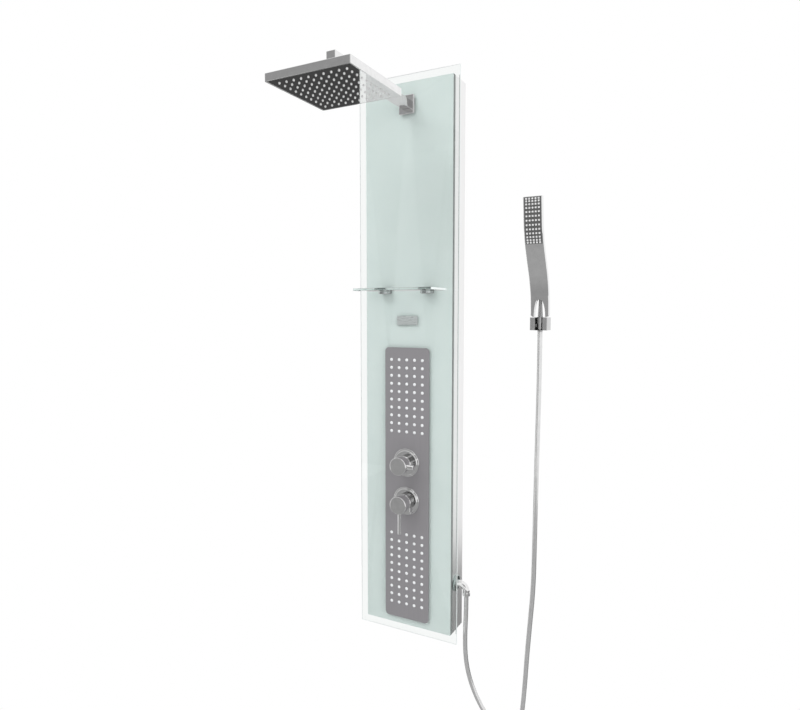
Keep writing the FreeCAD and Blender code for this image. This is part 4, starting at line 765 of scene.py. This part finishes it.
# Half sections as (radius, height) pairs, and how far each of their corners is rounded.
ROSETTE = [(19, 0), (38.5, 0), (38.5, 4), (33.5, 4), (33.5, 7), (19, 7)]
ROSETTE_ROUNDING = [0.1, 0.3, 1.5, 0.6, 1.4, 0.5]
KNOB = [(21, 0), (24, 0), (24, 31), (0, 31), (0, 26), (21, 26)]
KNOB_ROUNDING = [0.5, 0.8, 1.7, 0, 0, 0.5]
GRIP = [(0, 0), (6.5, 0), (6.5, 19.5), (0, 19.5)]
GRIP_ROUNDING = [0, 0.2, 1.6, 0]
LEVER = [(0, 0), (4.75, 0), (4.75, 58.5), (0, 58.5)]
LEVER_ROUNDING = [0, 0.2, 1.4, 0]
SLEEVE_BORE, SLEEVE_RADIUS = 17.3, 22.5
SLEEVE_ROUNDING = [0.1, 0.3, 0.7, 0.4]

LEVER_PIVOT, DOME_FOOT = 14.0, 10.0  # how far in front of the glass
DOME_RADIUS, DOME_BORE, DOME_MOUTH = 22.5, 20.0, 13.5
ROUND_SIDES = 96


def make_turned(name, node, outline, rounding, body, direction=TO_USER, material=CHROME, closed=True):
    """A turned piece from its softened half section; an open one starts and ends on the axis."""
    part = turned(soften(outline, rounding, closed=closed), ROUND_SIDES, close_rows=closed)
    put_for(name, node, part, direction, body, material)


def make_valves():
    """Rosettes, collar, handle, knob and both levers of the two valves."""
    make_turned("mixer_cover", "mixer_rosette", ROSETTE, ROSETTE_ROUNDING, "panel")
    make_turned("diverter_cover", "diverter_rosette", ROSETTE, ROSETTE_ROUNDING, "panel")
    make_turned("mixer_cap", "mixer_handle", KNOB, KNOB_ROUNDING, "mixer_lever")
    make_turned("diverter_cap", "diverter_knob", KNOB, KNOB_ROUNDING, "diverter")
    low, high = node_box("diverter_collar")
    length = high[1] - low[1]
    sleeve = [(SLEEVE_BORE, 0), (SLEEVE_RADIUS, 0), (SLEEVE_RADIUS, length), (SLEEVE_BORE, length)]
    # The sleeve takes the dimmed chrome: painted shade on its side.
    make_turned("diverter_sleeve", "diverter_collar", sleeve, SLEEVE_ROUNDING, "panel", material=SHADE_DIMMED_CHROME)
    make_turned("diverter_grip", "diverter_stub", GRIP, GRIP_ROUNDING, "diverter", TO_RIGHT,
                closed=False)
    make_turned("mixer_lever", "mixer_lever_pin", LEVER, LEVER_ROUNDING, "mixer_lever", DOWNWARD,
                closed=False)


def make_dome():
    """Fixed dome behind the mixer handle: two zones of spheres about the lever's pivot."""
    foot = DOME_FOOT - LEVER_PIVOT
    outside = arc(DOME_RADIUS, math.asin(foot / DOME_RADIUS), math.acos(DOME_MOUTH / DOME_RADIUS), 20)
    inside = arc(DOME_BORE, math.acos(DOME_MOUTH / DOME_BORE), math.asin(foot / DOME_BORE), 20)
    part = turned(np.vstack([outside, inside]), ROUND_SIDES, close_rows=True)
    place = (0, GLASS_FRONT - LEVER_PIVOT, node_middle("mixer_dome")[2])
    # The dome takes the dimmed chrome: painted shade and dark reflection.
    put_for("mixer_shroud", "mixer_dome", part, TO_USER, "panel", SHADE_DIMMED_CHROME, place)


make_valves()
make_dome()

# ---- side outlet

COVER = [(9.8, 0), (21, 0), (21, 6), (9.8, 6)]
COVER_ROUNDING = [0.1, 0.3, 2.6, 0.5]
ELBOW_RADIUS, ELBOW_BEND = 9.0, 18.0
NUT_CHAMFER = [(0, 8.3), (0.25, 9.1), (1.0, 9.8), (1.8, 10.6)]  # height from a rim, cutting radius


def make_outlet():
    """Rosette and elbow at the housing's side."""
    # The rosette takes the dimmed, tinted chrome: painted shade and reflection.
    make_turned("outlet_cover", "outlet_rosette", COVER, COVER_ROUNDING, "panel", TO_RIGHT,
                material=OUTLET_PAINTED_SHADE)
    low, high = node_box("outlet_elbow")
    axis_x, axis_z = high[0] - ELBOW_RADIUS, high[2] - ELBOW_RADIUS
    y = (low[1] + high[1]) / 2
    angle = np.linspace(0, math.pi / 2, 24)
    bend = np.column_stack([axis_x - ELBOW_BEND + ELBOW_BEND * np.sin(angle), np.full(24, y),
                            axis_z - ELBOW_BEND + ELBOW_BEND * np.cos(angle)])
    path = np.vstack([[(low[0], y, axis_z)], bend, [(axis_x, y, low[2])]])
    put("outlet_bend", [tube(path, ELBOW_RADIUS, 48)], CHROME, "panel", ["outlet_elbow"],
        sharp=60)


def make_hose_nut():
    """Hexagonal nut: rings of a hexagon cut off by a circle that grows from each rim."""
    low, high = node_box("hose_nut")
    tall = high[2] - low[2]
    angle = np.linspace(0, 2 * math.pi, 72, endpoint=False)
    hexagon = (high[1] - low[1]) / 2 / np.cos((angle % (math.pi / 3)) - math.pi / 6)
    rise, limit = np.array(NUT_CHAMFER).T
    levels = np.concatenate([rise, tall - rise[::-1]])
    limits = np.concatenate([limit, limit[::-1]])
    radius = np.minimum(hexagon[None], limits[:, None])
    points = np.stack([radius * np.cos(angle), radius * np.sin(angle),
                       np.broadcast_to(levels[:, None], radius.shape)], axis=-1)
    put_for("nut_of_hose", "hose_nut", grid_part(points), UPRIGHT, "panel", sharp=35)


make_outlet()
make_hose_nut()

# ---- hand shower and its holder

# Half section of the tapered nut under the hand shower.
CONE = [(0, 0), (6.3, 0), (6.5, 2.2), (6.45, 2.8), (8.5, 34), (8.5, 37), (0, 37)]
CONE_ROUNDING = [0, 0.7, 0.2, 0.2, 0.6, 0.7, 0]
SLOT_HALF, HOLDER_BACK = 10.0, 5.0
HOLDER_EDGE = 0.6
HOLDER_ROUNDING = [0.3, 1.3, 0.8, 0.6, 0.6, 0.8, 1.3, 0.3]


def make_holder():
    """U-shaped wall holder with rounded edges."""
    low, high = node_box("holder_body")
    half_x, depth, tall = (high[0] - low[0]) / 2, high[1] - low[1], high[2] - low[2]
    outline = soften([(-half_x, 0), (-half_x, -depth), (-SLOT_HALF, -depth), (-SLOT_HALF, -HOLDER_BACK),
                      (SLOT_HALF, -HOLDER_BACK), (SLOT_HALF, -depth), (half_x, -depth), (half_x, 0)],
                     HOLDER_ROUNDING, steps=6)
    part = prism(outline, plate_profile(0, tall, HOLDER_EDGE))
    put_for("wall_holder", "holder_body", part, UPRIGHT, "panel", HOLDER,
            ((low[0] + high[0]) / 2, high[1], low[2]))


CONE_TOP = node_box("hose_cone")[1][2]
NECK_X, NECK_Y = node_middle("hose_cone")[:2]
FOOT_GAP = 0.3  # from the cone up to the body's foot
LEAN_MARKS = np.cumsum([0.0, 10.0, 218.0 * math.radians(28.5), 51.0, 197.0 * math.radians(21.5), 57.0])
LEAN_DEGREES = [0.0, 0.0, 28.5, 28.5, 7.0, 7.0]
LINE_STEPS = 3000
HANDSET_REACH = LEAN_MARKS[-1]
HANDSET_HALF_WIDTH, HANDSET_HALF_THICK = 23.0, 6.5
HANDSET_EDGE, HANDSET_CORNER = 1.4, 5.0
ARCH_HALF_WIDTH, ARCH_HEIGHT, ARCH_EDGE = 13.2, 45.0, 0.9
CLOSE_METRES = 2e-6  # the body's halves and the arch's wall join within this
NECK_OUTLINE = [(0, -9), (5.3, -9), (5.3, 0), (6.15, 0.3), (6.15, 2.2), (3.75, ARCH_HEIGHT + 3),
                (0, ARCH_HEIGHT + 3)]
NECK_ROUNDING = [0, 0.3, 0.1, 0.4, 0.8, 0, 0]


def handset_line(reach):
    """Y, Z and lean of the hand shower's middle line at distances up from its foot: the
    lean passes in straight steps between its marks, and the line adds up its headings."""
    marks = np.linspace(0, HANDSET_REACH, LINE_STEPS)
    lean = np.radians(np.interp(marks, LEAN_MARKS, LEAN_DEGREES))
    step = marks[1]
    y, z = (np.concatenate([[0], np.cumsum((heading[1:] + heading[:-1]) / 2 * step)])
            for heading in (-np.sin(lean), np.cos(lean)))
    at = np.radians(np.interp(reach, LEAN_MARKS, LEAN_DEGREES))
    return np.interp(reach, marks, y), np.interp(reach, marks, z), at


def on_handset(x, reach, out):
    """Points at x across, reach along the middle line and out in front of it."""
    x, reach, out = np.broadcast_arrays(x, reach, out)
    y, z, lean = handset_line(reach)
    foot_z = CONE_TOP + FOOT_GAP
    return np.stack([NECK_X + x, NECK_Y + y - np.cos(lean) * out, foot_z + z - np.sin(lean) * out], axis=-1)


def rim_inset(distance, edge):
    """How far a rounded edge draws a surface in, at a distance from the end."""
    near = np.clip(edge - distance, 0, edge)
    return edge - np.sqrt(edge ** 2 - near ** 2)


def arch_edge(crown, grow):
    """X and reach of the arch's edge, an ellipse, at angles of its crown; grow moves it
    outwards along its normals."""
    slope_x, slope_s = np.cos(crown) / ARCH_HALF_WIDTH, np.sin(crown) / ARCH_HEIGHT
    scale = np.hypot(slope_x, slope_s)
    return (ARCH_HALF_WIDTH * np.cos(crown) + grow * slope_x / scale,
            ARCH_HEIGHT * np.sin(crown) + grow * slope_s / scale)


def handset_half(side):
    """One half of the flat body. Rows climb the body; a row runs from the arch's edge, or
    from the middle line above it, across the front, round the side and back behind."""
    edge_x, edge_s = arch_edge(np.linspace(0, math.pi / 2, 26), ARCH_EDGE)
    above = np.concatenate([np.linspace(edge_s[-1] + 3, HANDSET_REACH - 2, 70),
                            HANDSET_REACH - HANDSET_EDGE * (1 - np.sin(np.linspace(0, math.pi / 2, 6)))])
    reach = np.concatenate([edge_s, above])
    start_x = np.concatenate([edge_x, np.zeros(len(above))])
    corner = np.clip(HANDSET_CORNER - reach, 0, HANDSET_CORNER)
    width = HANDSET_HALF_WIDTH - HANDSET_CORNER + np.sqrt(HANDSET_CORNER ** 2 - corner ** 2)
    drawn = rim_inset(HANDSET_REACH - reach, HANDSET_EDGE)
    width = width - drawn
    thick = HANDSET_HALF_THICK - drawn
    turn = np.linspace(0, math.pi / 2, 7)
    share = np.array([0, 0.25, 0.5, 0.75, 0.97])
    flat_end = width - HANDSET_EDGE
    front_x = start_x[:, None] + (flat_end - start_x)[:, None] * share
    round_x = flat_end[:, None] + HANDSET_EDGE * np.sin(turn)
    round_out = thick[:, None] - HANDSET_EDGE * (1 - np.cos(turn))
    x = np.hstack([front_x, round_x, round_x[:, ::-1], front_x[:, ::-1]])
    flat_out = np.broadcast_to(thick[:, None], front_x.shape)
    out = np.hstack([flat_out, round_out, -round_out[:, ::-1], -flat_out])
    points = on_handset(side * x, reach[:, None], out)
    return points, grid_faces(len(reach), x.shape[1], close_columns=False)


def arch_collar():
    """Inner wall of the arch with its rounded edges: rings of an ellipse that grows a
    little towards the front and the back."""
    crown = np.linspace(0, math.pi, 51)
    turn = np.linspace(0, math.pi / 2, 4)
    grow = ARCH_EDGE * (1 - np.sin(turn))
    depth = HANDSET_HALF_THICK - ARCH_EDGE * (1 - np.cos(turn))
    grow = np.concatenate([grow, grow[::-1]])[:, None]
    depth = np.concatenate([depth, -depth[::-1]])[:, None]
    x, reach = arch_edge(crown, grow)
    return on_handset(x, reach, depth), grid_faces(len(grow), len(crown), close_columns=False)


def make_handset():
    """Flat hand shower with a soft S bend and an open arch round its tapered neck. Its flat
    feet and its flat upper end are closed last."""
    parts = [(points.reshape(-1, 3), faces)
             for points, faces in (handset_half(-1), handset_half(1), arch_collar())]
    body = put("hand_shower_body", parts, CHROME, "hand_shower", ["handset_body"])
    clean(body.data, merge=CLOSE_METRES, close_rims=True)
    neck = turned(soften(NECK_OUTLINE, NECK_ROUNDING, closed=False), 48)
    put("hand_shower_neck", [turned_to(neck, UPRIGHT, (NECK_X, NECK_Y, CONE_TOP))], NECK, "hand_shower")


SPRAY_END, SPRAY_LENGTH = 2.0, 108.0
SPRAY_MIDDLE = HANDSET_REACH - SPRAY_END - SPRAY_LENGTH / 2
SPRAY_HALF_WIDTH = 20.5
SPRAY_THICK, SPRAY_EDGE, SPRAY_SINK = 1.0, 0.4, 0.2
SPRAY_FRONT = HANDSET_HALF_THICK + SPRAY_THICK


def make_spray_plate():
    """Spray plate: a rounded rectangle on the hand shower's curved front."""
    across = np.array([-1, -0.96, -0.5, 0, 0.5, 0.96, 1.0])
    along = np.concatenate([[-1, -0.99], np.linspace(-0.96, 0.96, 40), [0.99, 1.0]])
    x, reach = np.broadcast_arrays(SPRAY_HALF_WIDTH * across[None],
                                   SPRAY_MIDDLE + SPRAY_LENGTH / 2 * along[:, None])
    front = on_handset(x - np.sign(x) * SPRAY_EDGE * (np.abs(across)[None] > 0.99), reach, SPRAY_FRONT)
    back = on_handset(x, reach, HANDSET_HALF_THICK - SPRAY_SINK)
    rows, columns = x.shape
    surface = grid_faces(rows, columns, close_columns=False)
    count = rows * columns
    index = np.arange(count).reshape(rows, columns)
    rim = np.concatenate([index[0], index[1:, -1], index[-1, -2::-1], index[-2:0:-1, 0]])
    following = np.roll(rim, -1)
    side = np.column_stack([rim, following, following + count, rim + count]).tolist()
    faces = surface + [[point + count for point in face] for face in surface] + side
    points = np.vstack([front.reshape(-1, 3), back.reshape(-1, 3)])
    put("spray_face", [(points, faces)], SPRAY, "hand_shower", ["handset_spray_plate"])


NOZZLE_HALF, NOZZLE_CORNER, NOZZLE_LEAST = 2.1, 0.6, 0.1
NOZZLE_PROFILE = ((0, -0.1), (0, 0.55), (0.25, 0.85), (0.8, 0.85), (0.95, 0.4))
NOZZLE_ROWS, NOZZLE_COLUMNS, NOZZLE_PITCH = 13, 5, 7.5
ROW_SWING = math.radians(61.0)  # the rows' places go as the sine of even angles up to this
ROW_REACH = 50.5  # from the middle row to the last one


def make_spray_nozzles():
    """Small square nozzles with rounded corners, in rows that close up towards both ends."""
    angle = np.linspace(-ROW_SWING, ROW_SWING, NOZZLE_ROWS)
    parts = []
    for row in SPRAY_MIDDLE + ROW_REACH / math.sin(ROW_SWING) * np.sin(angle):
        for column in range(NOZZLE_COLUMNS):
            x = NOZZLE_PITCH * (column - (NOZZLE_COLUMNS - 1) / 2)
            rings = [rounded_ring(NOZZLE_HALF, NOZZLE_HALF, NOZZLE_CORNER, inset, out, 3, NOZZLE_LEAST)
                     for inset, out in NOZZLE_PROFILE]
            parts.append(grid_part(np.array([on_handset(x + ring[:, 0], row + ring[:, 1],
                                                        SPRAY_FRONT + ring[:, 2]) for ring in rings])))
    put("spray_nozzles", parts, SPRAY_RUBBER, "hand_shower", ["handset_nozzles"])


make_turned("cone_of_hose", "hose_cone", CONE, CONE_ROUNDING, "hand_shower", UPRIGHT, NECK, False)
make_holder()
make_handset()
make_spray_plate()
make_spray_nozzles()

# ---- studio

AMBIENT = 0.90  # strength of the white room as a light
FLOOR_HEIGHT, FLOOR_HALF = -1500.0, 12000.0
FLOOR_WHITE = 0.9  # its share of reflected light, and its roughness
LAMP_SIZE = 1800.0

FRONT_GREY = 155  # what polished fronts mirror
FLOOR_GREY = 153  # what the knobs' fronts mirror
NEAR_GREY = 168  # what the leaning hand shower mirrors
FADE_FROM, FADE_TO = -3400.0, -1300.0  # where the floor card passes from one to the other
SIDE_GREY = 98  # what the housing's side mirrors low down
RIGHT_GREY = 150  # what the valves' sides mirror
BACK_GREY = 70  # what the undersides mirror


def rectangle(low, high):
    """Corners of a level or upright rectangle between two opposite ones."""
    (x0, y0, z0), (x1, y1, z1) = low, high
    return np.array([(x0, y0, z0), (x1, y0, z0), (x1, y1, z1), (x0, y1, z1)], float), [[0, 1, 2, 3]]


def seen_rays(tree):
    """One where a ray comes from the camera, off a surface that mirrors or through glass."""
    ray = add_node(tree, "LightPath")
    return highest(tree, ray.outputs["Is Camera Ray"], ray.outputs["Is Glossy Ray"],
                   ray.outputs["Is Transmission Ray"])


def add_world():
    """A white room: plain white to the eye and in reflections, softer as a light."""
    world = bpy.data.worlds.new("room")
    world.use_nodes = True
    tree = world.node_tree
    fill(find_node(tree, "BACKGROUND"), Color=shade(255), Strength=AMBIENT)
    white = fill(add_node(tree, "Background"), Color=shade(255))
    lay_over(tree, seen_rays(tree), white, "OUTPUT_WORLD")
    scene.world = world


def add_floor():
    """Plain pale floor far below the panel, white to the eye and in reflections."""
    material, tree = new_material("floor")
    fill(find_node(tree, "BSDF_PRINCIPLED"), Base_Color=(FLOOR_WHITE, FLOOR_WHITE, FLOOR_WHITE, 1),
         Roughness=FLOOR_WHITE)
    lay_over(tree, seen_rays(tree), add_node(tree, "Emission"))
    corners = rectangle((-FLOOR_HALF, -FLOOR_HALF, FLOOR_HEIGHT), (FLOOR_HALF, FLOOR_HALF, FLOOR_HEIGHT))
    put("floor", [corners], material, None)


def add_softbox(name, place, watts):
    """A large square lamp that faces the panel's middle."""
    data = bpy.data.lights.new(name, "AREA")
    data.shape = "SQUARE"
    data.size = LAMP_SIZE * METRE
    data.energy = watts
    lamp = bpy.data.objects.new(name, data)
    lamp.location = np.array(place) * METRE
    x, y, z = place
    lamp.rotation_euler = (math.atan2(math.hypot(x, y), z), 0, -math.atan2(-x, -y))
    lamp.visible_glossy = False
    lamp.visible_transmission = False
    scene.collection.objects.link(lamp)


def add_flag(name, low, high, grey, near_grey=None):
    """A card outside the view that only polished surfaces reflect; a floor card may pass
    into a second grey towards the wall."""
    material, tree = new_material(name)
    tree.nodes.clear()
    glow = fill(add_node(tree, "Emission"), Color=shade(grey))
    join(tree, (glow, 0, add_node(tree, "OutputMaterial"), "Surface"))
    if near_grey:
        place = add_node(tree, "TexCoord")
        split = add_node(tree, "SeparateXYZ")
        span = fill(add_node(tree, "MapRange", interpolation_type="SMOOTHSTEP"),
                    From_Min=FADE_FROM * METRE, From_Max=FADE_TO * METRE)
        tint = add_node(tree, "Mix", data_type="RGBA")
        tint.inputs[COLOUR_A].default_value = shade(grey)
        tint.inputs[COLOUR_B].default_value = shade(near_grey)
        join(tree, (place, "Object", split, 0), (split, "Y", span, "Value"),
             (span, "Result", tint, "Factor"), (tint, COLOUR_OUT, glow, "Color"))
    card = put(name, [rectangle(low, high)], material, None)
    card.visible_camera = False
    card.visible_diffuse = False
    card.visible_transmission = False
    card.visible_shadow = False


add_world()
add_floor()
add_softbox("key_light", (-900, -2600, 2300), 36)
add_softbox("side_light", (2600, -1400, 900), 20)
add_flag("front_flag", (-5200, -4200, -1490), (-400, -4200, 3600), FRONT_GREY)
add_flag("floor_flag", (-2300, -4200, -1485), (3700, 300, -1485), FLOOR_GREY, NEAR_GREY)
add_flag("side_flag", (200, 300, -1485), (3700, 2200, -1485), SIDE_GREY)
add_flag("right_flag", (500, -4200, 300), (4000, -4200, 4000), RIGHT_GREY)
add_flag("back_flag", (-3600, 900, -1490), (-330, 900, 1500), BACK_GREY)
